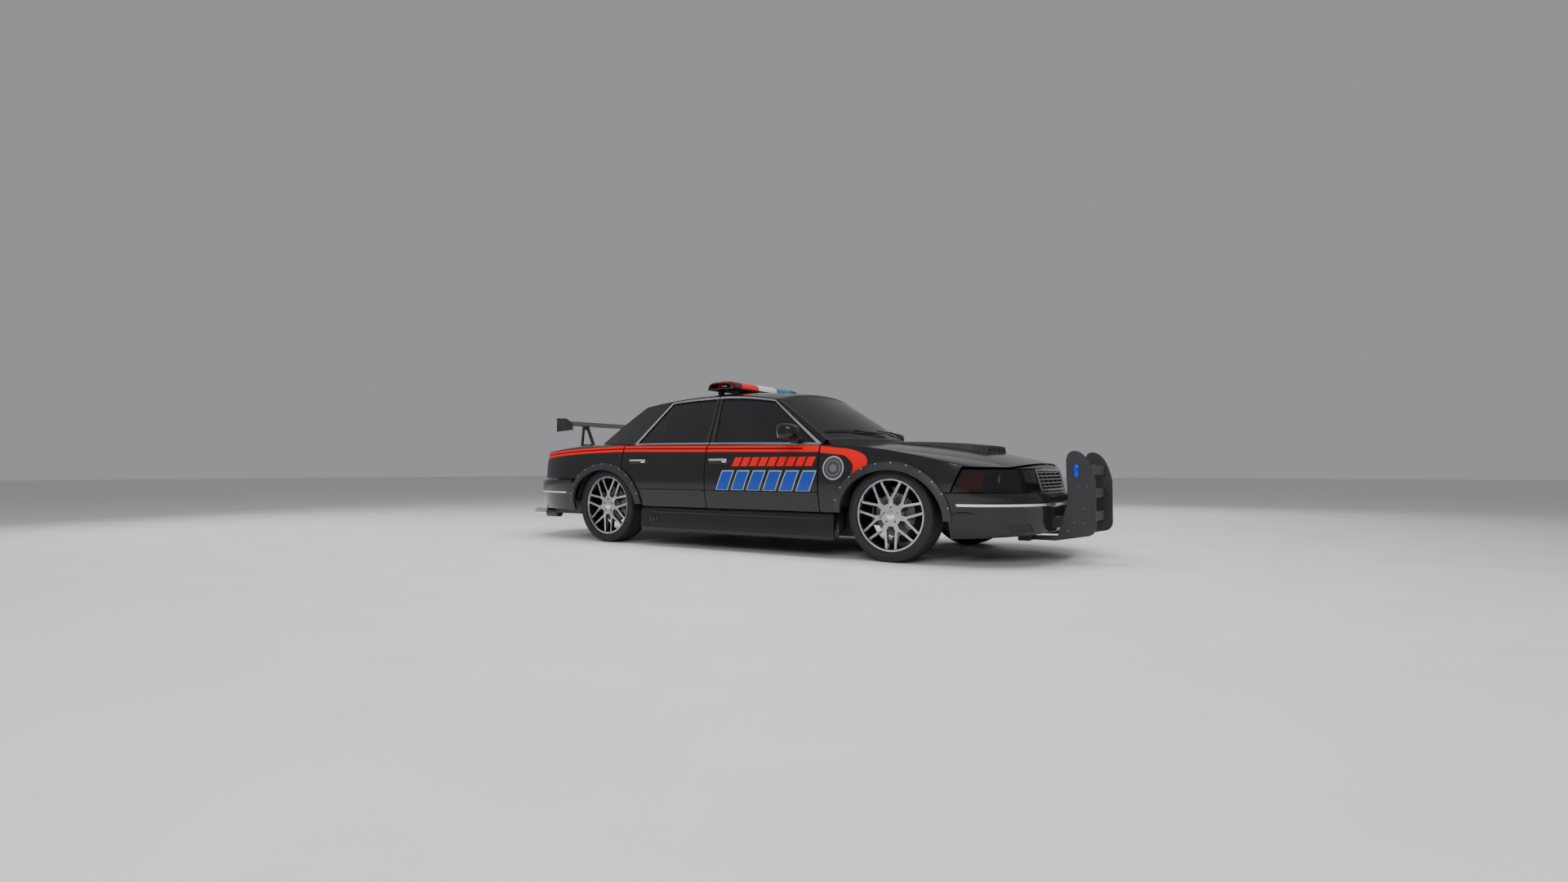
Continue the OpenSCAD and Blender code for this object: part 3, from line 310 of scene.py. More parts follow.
def fender_point(u, t):
    """Front fender: u from the door to the headlamp, t up the side to one and over the shoulder to two."""
    back = DOOR_FRONT_X + GAP
    side = np.minimum(t, 1)
    low_x = mix(back, FENDER_LOW_X, u)
    floor = np.where(low_x > ARCH_FRONT_X, 520, DOOR_BOTTOM_Z)
    away = low_x - ARCH_FRONT_X
    low = np.where(np.abs(away) < ARCH_A, arch_z(away, ARCH_A, ARCH_B), 0)
    x = mix(back, mix(FENDER_LOW_X, FENDER_TOP_X, side), u)
    z = mix(np.maximum(low, floor), belt_z(x), side)
    a = stack(x, -side_h(x, z), z)
    c = hood_point(u, np.full_like(u, -1))
    c = stack(np.maximum(c[..., 0], back), c[..., 1] - GAP, c[..., 2])
    return shoulder(a, c, t)


def lid_h(s, y):
    """Height of the trunk lid: two falls along it, and a crown across that grows from the hinged edge."""
    crown = LID_CROWN * arc(y / LID_HALF) * np.sin(pi / 2 * np.minimum(1, s / 0.3))
    return LID_Z0 - LID_CROWN + crown - 25 * s - 50 * s * s


def lid_point(s, v):
    """Trunk lid: s from the hinge to the deck's edge at one and down the rear face to two."""
    y = v * LID_HALF
    deck = np.minimum(s, 1)
    drop = np.maximum(s - 1, 0)
    edge_x = -end_x(y, LID_EDGE_Z, TAIL_START, LID_EDGE_LEN)
    top = stack(mix(LID_FRONT_X, edge_x, deck), y, lid_h(deck, y))
    z = mix(lid_h(1, y), LID_FOOT_Z, drop)
    face = stack(-end_x(y, z, TAIL_START, mix(LID_EDGE_LEN, LID_FOOT_LEN, drop)), y, z)
    return np.where((s <= 1)[..., None], top, face)


def quarter_point(u, t):
    """Rear quarter: u from the tail lamp to the door, t up the side to one and over the shoulder to two."""
    side = np.minimum(t, 1)
    x = mix(QUARTER_X, DOOR_REAR_X - GAP, u)
    away = x - ARCH_REAR_X
    low = np.where(np.abs(away) < ARCH_A, arch_z(away, ARCH_A, ARCH_B), 590)
    low = np.where(away < 0, np.maximum(low, 590), low)
    z = mix(low, belt_z(x), side)
    a = stack(x, -side_h(x, z), z)
    front_x = -1172
    ex = mix(QUARTER_TOP_X, front_x, u)
    lid_y = LID_HALF + GAP
    pillar_z = mix(belt_z(ex) + 13, CORNER_Z, np.clip((ex - front_x) / (BACK_X - front_x), 0, 1))
    k = np.clip((ex - BACK_X) / (LID_FRONT_X - BACK_X), 0, 1)
    s = np.clip((ex - LID_FRONT_X) / (QUARTER_TOP_X - LID_FRONT_X), 0, 1)
    on_pillar = stack(ex, -glass_h(ex, pillar_z), pillar_z)
    corner = stack(ex, -mix(glass_h(BACK_X, CORNER_Z), lid_y, k), mix(CORNER_Z, lid_h(0, LID_HALF), k))
    on_lid = stack(ex, np.full_like(ex, -lid_y), lid_h(s, LID_HALF))
    c = np.where((ex > LID_FRONT_X)[..., None], corner, on_lid)
    c = np.where((ex > BACK_X)[..., None], on_pillar, c)
    return shoulder(a, c, t)


def nose_point(w, z, a, b, start=NOSE_START):
    """Rounded end at turn angle w from straight out: a super-ellipse of length a and half width b."""
    x = start + a * np.cos(w) ** (2 / PLAN_M)
    return stack(x, np.sign(w) * b * np.abs(np.sin(w)) ** (2 / PLAN_N), z)


def tail_point(w, z, a, b):
    """The same at the tail, with the turn counted to the other side."""
    return nose_point(w, z, a, b, TAIL_START) * [-1, -1, 1]


def end_turn(d, a):
    """Turn angle at which a rounded end of length a has come back to distance d."""
    return np.arccos(np.clip(d / a, 0, 1) ** (PLAN_M / 2))


def upper_nose(z):
    """Length of the leaning nose that carries headlamps and grille."""
    return mix(UPPER_NOSE_FOOT, UPPER_NOSE_TOP, (z - UPPER_NOSE_Z) / UPPER_NOSE_HEIGHT)


def flare_point(k, w, out, middle):
    """Wheel flare: k is the turn in degrees, w runs from edge to lip, out is one on the outer face."""
    turn = np.radians(k)
    rise = np.where((k < 0) | (k > 180), 1.1 * np.sin(turn), np.sin(turn))
    x = middle - mix(FLARE_A, LIP_A, w) * np.cos(turn)
    z = WHEEL_Z + mix(FLARE_B, LIP_B, w) * rise
    proud = np.where(w < 0.02, 4, mix(14, 28, np.sin(pi / 2 * w)))
    return stack(x, -side_h(x, z) - 0.5 - out * proud, z)


# Meshes


def shell(outer, inner, keep=None):
    """Closed shell between two grids, rows up and columns right seen from outside; keep drops cells."""
    m, n = outer.shape[:2]
    kept = np.ones((m - 1, n - 1), bool) if keep is None else keep
    wide = np.pad(kept, 1)
    at = np.arange(m * n).reshape(m, n)
    a, b, d, e = at[:-1, :-1], at[:-1, 1:], at[1:, :-1], at[1:, 1:]
    far = m * n
    walls = [
        (kept, (a, b, e, d)),
        (kept, (a + far, d + far, e + far, b + far)),
        (kept & ~wide[:-2, 1:-1], (a, a + far, b + far, b)),
        (kept & ~wide[2:, 1:-1], (e, e + far, d + far, d)),
        (kept & ~wide[1:-1, :-2], (d, d + far, a + far, a)),
        (kept & ~wide[1:-1, 2:], (b, b + far, e + far, e)),
    ]
    faces = np.concatenate([np.stack([c[mask] for c in corners], 1) for mask, corners in walls])
    points = np.concatenate([outer.reshape(-1, 3), inner.reshape(-1, 3)])
    used, faces = np.unique(faces, return_inverse=True)
    return points[used], faces.reshape(-1, 4)


def soften(outer, inner, radius):
    """The two grids with one more ring, so that the outer face rolls over its edge by the radius."""
    o = np.pad(outer, ((1, 1), (1, 1), (0, 0)), mode="edge")
    i = np.pad(inner, ((1, 1), (1, 1), (0, 0)), mode="edge")
    depth = np.linalg.norm(i - o, axis=-1, keepdims=True)
    low = o + (i - o) * np.minimum(0.45, radius / np.maximum(depth, 1))
    for near, next_in in ((np.s_[1, :], np.s_[2, :]), (np.s_[-2, :], np.s_[-3, :]),
                          (np.s_[:, 1], np.s_[:, 2]), (np.s_[:, -2], np.s_[:, -3])):
        step = o[next_in] - o[near]
        length = np.linalg.norm(step, axis=-1, keepdims=True)
        o[near] = o[near] + step * np.minimum(0.45, 0.8 * radius / np.maximum(length, 1e-6))
    for edge in (np.s_[0, :], np.s_[-1, :], np.s_[:, 0], np.s_[:, -1]):
        o[edge] = low[edge]
    return o, i


def panel(outer, inner, radius=2.5):
    """Shell whose outer edges are rolled."""
    return shell(*soften(outer, inner, radius))


def patch(surface, rows, cols, proud, depth, radius=1.0):
    """Thin closed strip over a surface of two parameters, between two distances along its normal."""
    r, c = grid(rows, cols)
    base = surface(r, c)
    along = np.gradient(base, axis=1)
    up = np.gradient(base, axis=0)
    normal = np.cross(along, up)
    normal /= np.maximum(np.linalg.norm(normal, axis=-1, keepdims=True), 1e-9)
    return panel(base + normal * proud, base + normal * depth, radius)


def revolve(profile, count):
    """Closed ring: a closed profile of (radius, height) points carried round the third axis."""
    profile = np.asarray(profile, float)
    angle = np.arange(count) * 2 * pi / count
    radius, turn = profile[:, 0], angle[:, None]
    ring = stack(radius * np.cos(turn), radius * np.sin(turn), profile[:, 1])
    m = len(profile)
    i, j = np.meshgrid(np.arange(count), np.arange(m), indexing="ij")
    after, up = (i + 1) % count, (j + 1) % m
    faces = np.stack([i * m + j, after * m + j, after * m + up, i * m + up], -1)
    return ring.reshape(-1, 3), faces.reshape(-1, 4)


def tube(path, radius, sides=10):
    """Round bar along a path of points, closed at both ends by a tapered ring."""
    path = np.asarray(path, float)
    ahead = np.gradient(path, axis=0)
    ahead /= np.linalg.norm(ahead, axis=1, keepdims=True)
    up = np.where(np.abs(ahead[:, 2:]) > 0.9, [[1.0, 0, 0]], [[0, 0, 1.0]])
    across = np.cross(ahead, up)
    across /= np.linalg.norm(across, axis=1, keepdims=True)
    top = np.cross(across, ahead)
    angle = (np.arange(sides) * 2 * pi / sides)[:, None]
    ring = path[:, None] + radius * (across[:, None] * np.cos(angle) + top[:, None] * np.sin(angle))
    ends = np.repeat(path[[0, -1], None], sides, 1)
    return wrapped(np.concatenate([ends[:1], ring, ends[1:]]))


def wrapped(rows):
    """Closed skin over rings of points; the first and the last ring are one point each."""
    m, n = rows.shape[:2]
    points = np.concatenate([rows[0, :1], rows[1:-1].reshape(-1, 3), rows[-1, :1]])
    at = 1 + np.arange((m - 2) * n).reshape(m - 2, n)
    nxt = np.roll(at, -1, 1)
    quads = np.stack([at[:-1], at[1:], nxt[1:], nxt[:-1]], -1).reshape(-1, 4)
    first = np.stack([np.zeros(n, int), at[0], nxt[0]], -1)
    last = np.stack([np.full(n, len(points) - 1), nxt[-1], at[-1]], -1)
    return points, quads.tolist() + first.tolist() + last.tolist()


def rounded_box(low, high, power=5.0, count=20):
    """Super-ellipsoid that fills a box, with corners rounder for a smaller power."""
    low, high = np.asarray(low, float), np.asarray(high, float)
    lat, lon = grid((-pi / 2, pi / 2, count), np.arange(2 * count) * pi / count)

    def bulge(v):
        return np.sign(v) * np.abs(v) ** (2 / power)

    level = bulge(np.cos(lat))
    unit = stack(level * bulge(np.cos(lon)), level * bulge(np.sin(lon)), bulge(np.sin(lat)))
    return wrapped((low + high) / 2 + unit * (high - low) / 2)


def moved(part, shift=(0, 0, 0), turn=None):
    """A mesh turned by a 3 by 3 matrix and then shifted."""
    points, faces = part
    points = points if turn is None else points @ np.asarray(turn, float).T
    return points + np.asarray(shift, float), faces


def mirrored(part):
    """The same mesh on the other side of the car, with its faces turned round."""
    points, faces = part
    return points * [1, -1, 1], [list(f)[::-1] for f in faces]


def on_side(part, side):
    """A mesh made for the right side, put on the side asked for."""
    return part if side == "right" else mirrored(part)


def facing_ahead(part, place):
    """A mesh made round the third axis, turned so that this axis points ahead, and put in its place."""
    points, faces = part
    return points[:, [2, 0, 1]] + place, faces


def tilt(angle):
    """Turn about the first axis, as a 3 by 3 matrix."""
    return [[1, 0, 0], [0, np.cos(angle), -np.sin(angle)], [0, np.sin(angle), np.cos(angle)]]


def face_rows(faces):
    """Faces as lists of corners."""
    return faces.tolist() if isinstance(faces, np.ndarray) else faces


def joined(parts):
    """Several meshes as one."""
    points, faces, start = [], [], 0
    for p, f in parts:
        points.append(p)
        faces += [[start + i for i in face] for face in face_rows(f)]
        start += len(p)
    return np.concatenate(points), faces


def both(*parts):
    """Meshes made for the right side, together with their mirror images, as one."""
    right = joined(parts)
    return joined([right, mirrored(right)])


def shown(name, mesh, finish, sharp):
    """Object of a mesh in the scene, shaded smooth up to an angle."""
    mesh.polygons.foreach_set("use_smooth", np.ones(len(mesh.polygons), bool))
    mesh.set_sharp_from_angle(angle=radians(sharp))
    mesh.materials.append(material(finish))
    obj = bpy.data.objects.new(name, mesh)
    bpy.context.scene.collection.objects.link(obj)
    return obj


def make(name, part, finish, body="chassis", replaces=(), sharp=38):
    """Object from a mesh in millimetres, riding on a body and shown in the place of the nodes it replaces."""
    points, faces = part
    mesh = bpy.data.meshes.new(name)
    mesh.from_pydata((np.asarray(points, float) * MM).tolist(), [], face_rows(faces))
    mesh.validate()
    obj = shown(name, mesh, finish, sharp)
    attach(obj, body)
    if replaces:
        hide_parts(*replaces)
    return obj


def refined(node, finish, body="chassis", bevel=2.0, sharp=32):
    """Copy of a CAD node with merged corners, rolled edges and smooth shading, shown in its place."""
    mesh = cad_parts[node].data.copy()
    mesh.name = node + "_finish"
    form = bmesh.new()
    form.from_mesh(mesh)
    bmesh.ops.remove_doubles(form, verts=form.verts, dist=0.00005)
    bmesh.ops.dissolve_limit(form, angle_limit=radians(0.6), verts=form.verts, edges=form.edges)
    form.to_mesh(mesh)
    form.free()
    mesh.materials.clear()
    obj = shown(node + "_finish", mesh, finish, sharp)
    if bevel:
        roll = obj.modifiers.new("edges", "BEVEL")
        roll.width = bevel * MM
        roll.segments = 2
        roll.limit_method = "ANGLE"
        roll.angle_limit = radians(40)
        roll.harden_normals = True
    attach(obj, body)
    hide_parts(node)
    return obj


# Shader maths


class Value:
    """A shader socket that can be used in Python sums."""

    def __init__(self, shade, socket):
        self.shade = shade
        self.socket = socket

    def _math(self, kind, *values):
        return self.shade.node("ShaderNodeMath", {"operation": kind}, dict(enumerate(values)))

    def __add__(self, other):
        return self._math("ADD", self, other)

    def __mul__(self, other):
        return self._math("MULTIPLY", self, other)

    def sine(self):
        return self._math("SINE", self)


class Shade:
    """One material: a principled shader and the nodes that feed it."""

    def __init__(self, name):
        self.material = bpy.data.materials.new(name)
        self.material.use_nodes = True
        self.tree = self.material.node_tree
        self.shader = self.tree.nodes["Principled BSDF"]
        self.place = self.node("ShaderNodeTexCoord", {}, {}, "Object")

    def _set(self, socket, value):
        if isinstance(value, Value):
            self.tree.links.new(value.socket, socket)
        else:
            socket.default_value = value

    def node(self, kind, settings, inputs, output=0):
        """Adds a node of a kind, sets its settings and then its sockets, and gives back one output."""
        made = self.tree.nodes.new(kind)
        for key, value in settings.items():
            setattr(made, key, value)
        for key, value in inputs.items():
            self._set(made.inputs[key], value)
        return Value(self, made.outputs[output])

    def noise(self, scale, detail):
        inputs = {"Vector": self.place, "Scale": scale, "Detail": detail}
        return self.node("ShaderNodeTexNoise", {}, inputs, "Fac")

    def axis(self, letter):
        return self.node("ShaderNodeSeparateXYZ", {}, {0: self.place}, letter)

    def blend(self, factor, a, b):
        """Colour between a and b."""
        return self.node("ShaderNodeMix", {"data_type": "RGBA"}, {0: factor, 6: a, 7: b}, 2)

    def spread(self, value, low, high):
        """A texture's middle range stretched between two numbers."""
        return self.node("ShaderNodeMapRange", {}, {0: value, 1: 0.3, 2: 0.7, 3: low, 4: high})

    def bump(self, height, strength, distance):
        inputs = {"Height": height, "Strength": strength, "Distance": distance}
        return self.node("ShaderNodeBump", {}, inputs, "Normal")

    def done(self, **sockets):
        """Sets or links the shader's sockets and gives back the material."""
        for key, value in sockets.items():
            self._set(self.shader.inputs[key.replace("_", " ")], value)
        return self.material


def rgb(colour, gain=1.0):
    """A property's colour as a socket value."""
    return (colour[0] * gain, colour[1] * gain, colour[2] * gain, 1.0)


def gloss_paint(name, colour, coat=0.5, shine=0.3):
    """Clear-coated paint: faint flake in the colour, orange peel in the coat, some dust in roughness."""
    s = Shade(name)
    flake = s.noise(900, 2)
    peel = s.noise(140, 2)
    tone = s.blend(s.spread(flake, 0, 1), rgb(colour, 0.85), rgb(colour, 1.2))
    rough = s.spread(s.noise(6, 5), 0.16, 0.24)
    return s.done(Base_Color=tone, Roughness=rough, Coat_Weight=coat, Coat_Roughness=0.03, Coat_IOR=1.35,
                  Specular_IOR_Level=shine, Normal=s.bump(peel, 0.04, 0.0006))


def moulded_plastic(name, colour, rough=0.55, grain=700):
    """Grained black plastic: leathery fine grain in the bump and patchy sheen in roughness."""
    s = Shade(name)
    fine = s.noise(grain, 4)
    patch_tone = s.noise(9, 4)
    tone = s.blend(s.spread(patch_tone, 0, 1), rgb(colour, 0.8), rgb(colour, 1.25))
    return s.done(Base_Color=tone, Roughness=s.spread(patch_tone, rough - 0.08, rough + 0.08),
                  Normal=s.bump(fine, 0.25, 0.0008))


def bright_metal(name, colour, rough=0.1, streak=60):
    """Plated or machined metal: fine wear in roughness and slight tone changes."""
    s = Shade(name)
    wear = s.noise(streak, 6)
    tone = s.blend(s.spread(wear, 0, 1), rgb(colour, 0.92), rgb(colour, 1.05))
    return s.done(Base_Color=tone, Metallic=1.0, Roughness=s.spread(wear, rough * 0.7, rough * 1.5))


def tyre_rubber(name, colour):
    """Tyre rubber: dull, with fine grain and paler dusty patches."""
    s = Shade(name)
    dust = s.noise(14, 6)
    tone = s.blend(s.spread(dust, 0, 1), rgb(colour), rgb(colour, 1.7))
    return s.done(Base_Color=tone, Roughness=s.spread(dust, 0.68, 0.86),
                  Normal=s.bump(s.noise(1200, 3), 0.2, 0.0006))


def tinted_glass(name, colour, alpha):
    """Dark film-tinted glass with a faint waviness; alpha lets the cabin show a little."""
    s = Shade(name)
    haze = s.noise(3, 4)
    s.material.surface_render_method = "DITHERED"
    return s.done(Base_Color=s.blend(s.spread(haze, 0, 1), rgb(colour), rgb(colour, 1.3)),
                  Roughness=s.spread(haze, 0.03, 0.06), Alpha=alpha, Specular_IOR_Level=0.4)


def ribbed_lens(name, colour, alpha, pitch, glow=0.0):
    """Moulded lamp lens: upright ribs in the bump, painted shade in the ribs' hollows with painted light on
    their crests, and a soft inner glow.
    """
    s = Shade(name)
    wave = (s.axis("Y") * (2 * pi / pitch)).sine()
    # Colour taken from the ribs' height, darker in the hollows and lighter on the crests: painted shade and
    # light
    tone = s.blend(wave * 0.5 + 0.5, rgb(colour, 0.7), rgb(colour, 1.1))
    rough = s.spread(s.noise(40, 3), 0.06, 0.14)
    return s.done(Base_Color=tone, Roughness=rough, Alpha=alpha, Coat_Weight=0.3, Specular_IOR_Level=0.35,
                  Emission_Color=tone, Emission_Strength=glow, Normal=s.bump(wave, 0.35, 0.0015))


def woven_cloth(name, colour):
    """Seat cloth: a fine weave of two crossing waves with worn, paler patches."""
    s = Shade(name)
    pitch = 2 * pi / 0.0035
    weave = (s.axis("X") * pitch).sine() * (s.axis("Y") * pitch).sine() + (s.axis("Z") * pitch).sine() * 0.5
    wear = s.noise(7, 5)
    tone = s.blend(s.spread(wear, 0, 1), rgb(colour, 0.75), rgb(colour, 1.4))
    return s.done(Base_Color=tone, Roughness=s.spread(wear, 0.8, 0.95), Normal=s.bump(weave, 0.3, 0.0008))


# What a user would change


def colour_setting(name, description, default):
    """A colour that the sidebar shows."""
    return bpy.props.FloatVectorProperty(name=name, description=description, subtype="COLOR", default=default)


def length_setting(name, description, default):
    """A length in metres that the sidebar shows."""
    return bpy.props.FloatProperty(name=name, description=description, unit="LENGTH", default=default)


class SedanFinish(bpy.types.PropertyGroup):
    """Colours of the car."""

    paint: colour_setting("Paint", "Gloss body colour", (0.013, 0.013, 0.0135))
    band: colour_setting("Band", "Band under the belt line", (0.72, 0.004, 0.006))
    bars: colour_setting("Bars", "Slanted bars on the front doors", (0.018, 0.06, 0.36))
    bar_edge: colour_setting("Bar edge", "Outline of the slanted bars", (0.3, 0.34, 0.42))
    trim: colour_setting("Trim", "Black plastic trim", (0.018, 0.018, 0.019))
    flare: colour_setting("Flares", "Bolted wheel flares and skirts", (0.022, 0.023, 0.025))
    alloy: colour_setting("Alloy", "Wheels", (0.55, 0.56, 0.58))
    chrome: colour_setting("Chrome", "Bright trim", (0.82, 0.83, 0.85))
    glass: colour_setting("Glass", "Film on the windows", (0.012, 0.013, 0.014))
    cloth: colour_setting("Cloth", "Seat covers", (0.075, 0.077, 0.082))


class SedanTrim(bpy.types.PropertyGroup):
    """Sizes of the trim."""

    band_height: length_setting("Band height", "Height of the band under the belt", 0.052)
    bright_width: length_setting("Bright trim", "Width of the bright strip round the windows", 0.015)
    bolt_radius: length_setting("Flare bolt", "Radius of a flare's bolt head", 0.007)
    bolts: bpy.props.IntProperty(
        name="Bolts", description="Bolts along one flare", default=11, min=4, max=20)
    tread_depth: length_setting("Tread", "Depth of the tyre's grooves", 0.007)
    groove_count: bpy.props.IntProperty(
        name="Tread blocks", description="Cross grooves round a tyre", default=72, min=24, max=120)
    rib_pitch: length_setting("Lens ribs", "Pitch of the ribs in the light bar's lenses", 0.012)


MATERIALS = {}


def material(name):
    """A finish by name, made once from the finish properties."""
    if name not in MATERIALS:
        f = bpy.context.scene.sedan_finish
        trim = bpy.context.scene.sedan_trim
        recipes = {
            "paint": (gloss_paint, "gloss_black_paint", f.paint),
            "band": (gloss_paint, "band_paint", f.band, 0.1, 0.2),
            "band_line": (gloss_paint, "band_line_paint", [0.09 * c for c in f.band], 0.1, 0.2),
            "bars": (gloss_paint, "bar_film", f.bars, 0.1, 0.2),
            "bar_edge": (gloss_paint, "outline_film", f.bar_edge, 0.1, 0.2),
            "roundel": (gloss_paint, "roundel_film", (0.055, 0.056, 0.058), 0.1, 0.2),
            "roundel_ring": (gloss_paint, "roundel_ring_film", (0.3, 0.305, 0.31), 0.1, 0.2),
            "roundel_line": (gloss_paint, "roundel_line_film", (0.2, 0.205, 0.21), 0.1, 0.2),
            "roundel_spot": (gloss_paint, "roundel_spot_film", (0.12, 0.122, 0.126), 0.1, 0.2),
            "gloss_trim": (moulded_plastic, "gloss_trim", f.trim, 0.25, 300),
            "grille": (gloss_paint, "grille_grey", (0.15, 0.152, 0.158), 0.3, 0.5),
            # Much darker metal: painted shade inside the wheels' rims, and the radiator core's own dark
            # colour
            "barrel": (bright_metal, "wheel_barrel", (0.05, 0.05, 0.052), 0.45, 30),
            "disc": (bright_metal, "brake_disc", (0.16, 0.16, 0.165), 0.4, 200),
            "trim": (moulded_plastic, "satin_trim", f.trim, 0.42),
            "matte": (moulded_plastic, "grained_flare", f.flare, 0.5),
            "under": (moulded_plastic, "underbody_black", (0.02, 0.02, 0.021), 0.75, 180),
            "push": (moulded_plastic, "powder_coat", (0.022, 0.023, 0.025), 0.5, 500),
            "chrome": (bright_metal, "chrome_trim", f.chrome, 0.2),
            "alloy": (bright_metal, "wheel_alloy", f.alloy, 0.24, 25),
            "steel": (bright_metal, "bare_steel", (0.42, 0.42, 0.43), 0.3, 90),
            "iron": (bright_metal, "cast_iron", (0.12, 0.12, 0.125), 0.55, 120),
            "tyre": (tyre_rubber, "tyre_rubber", (0.014, 0.014, 0.0145)),
            "glass": (tinted_glass, "tinted_glass", f.glass, 0.86),
            "lens": (tinted_glass, "smoked_lens", (0.012, 0.012, 0.013), 0.5),
            "tail": (ribbed_lens, "smoked_red_lens", (0.10, 0.006, 0.008), 0.92, 0.02),
            "amber": (ribbed_lens, "amber_lens", (0.32, 0.05, 0.012), 1.0, 0.01),
            "clear": (ribbed_lens, "clear_lens", (0.5, 0.5, 0.5), 1.0, 0.012),
            "red_dome": (ribbed_lens, "red_dome", (0.7, 0.006, 0.008), 0.95, trim.rib_pitch, 0.16),
            "white_dome": (ribbed_lens, "white_dome", (0.68, 0.69, 0.7), 0.95, trim.rib_pitch, 0.05),
            "blue_dome": (ribbed_lens, "blue_dome", (0.004, 0.16, 0.24), 0.95, trim.rib_pitch, 0.1),
            "dark_red_dome": (ribbed_lens, "dark_red_dome", (0.1, 0.004, 0.005), 0.95, trim.rib_pitch),
            "dark_blue_dome": (ribbed_lens, "dark_blue_dome", (0.003, 0.04, 0.06), 0.95, trim.rib_pitch),
            "strobe": (ribbed_lens, "strobe_lens", (0.01, 0.05, 0.45), 1.0, 0.006, 0.08),
            "cloth": (woven_cloth, "seat_cloth", f.cloth),
            "cabin": (moulded_plastic, "cabin_plastic", (0.02, 0.02, 0.021), 0.6, 350),
        }
        kind, *values = recipes[name]
        MATERIALS[name] = kind(*values)
    return MATERIALS[name]


# Panels


def fender_columns():
    """Shares along the fender, closer together where the arch is steep."""
    arch = ARCH_FRONT_X - ARCH_A * np.cos(np.linspace(0, 2.65, 46))
    back = DOOR_FRONT_X + GAP
    x = np.concatenate([np.linspace(back, arch[0] - 6, 9), arch, np.linspace(arch[-1] + 8, FENDER_LOW_X, 8)])
    return np.clip((x - back) / (FENDER_LOW_X - back), 0, 1)


def quarter_columns():
    """Shares along the quarter panel, closer together where the arch is steep."""
    arch = ARCH_REAR_X - ARCH_A * np.cos(np.linspace(0.55, 2.35, 40))
    front = DOOR_REAR_X - GAP
    x = np.concatenate([np.linspace(QUARTER_X, arch[0] - 8, 22), arch[arch < front - 4], [front]])
    return np.clip((x - QUARTER_X) / (front - QUARTER_X), 0, 1)


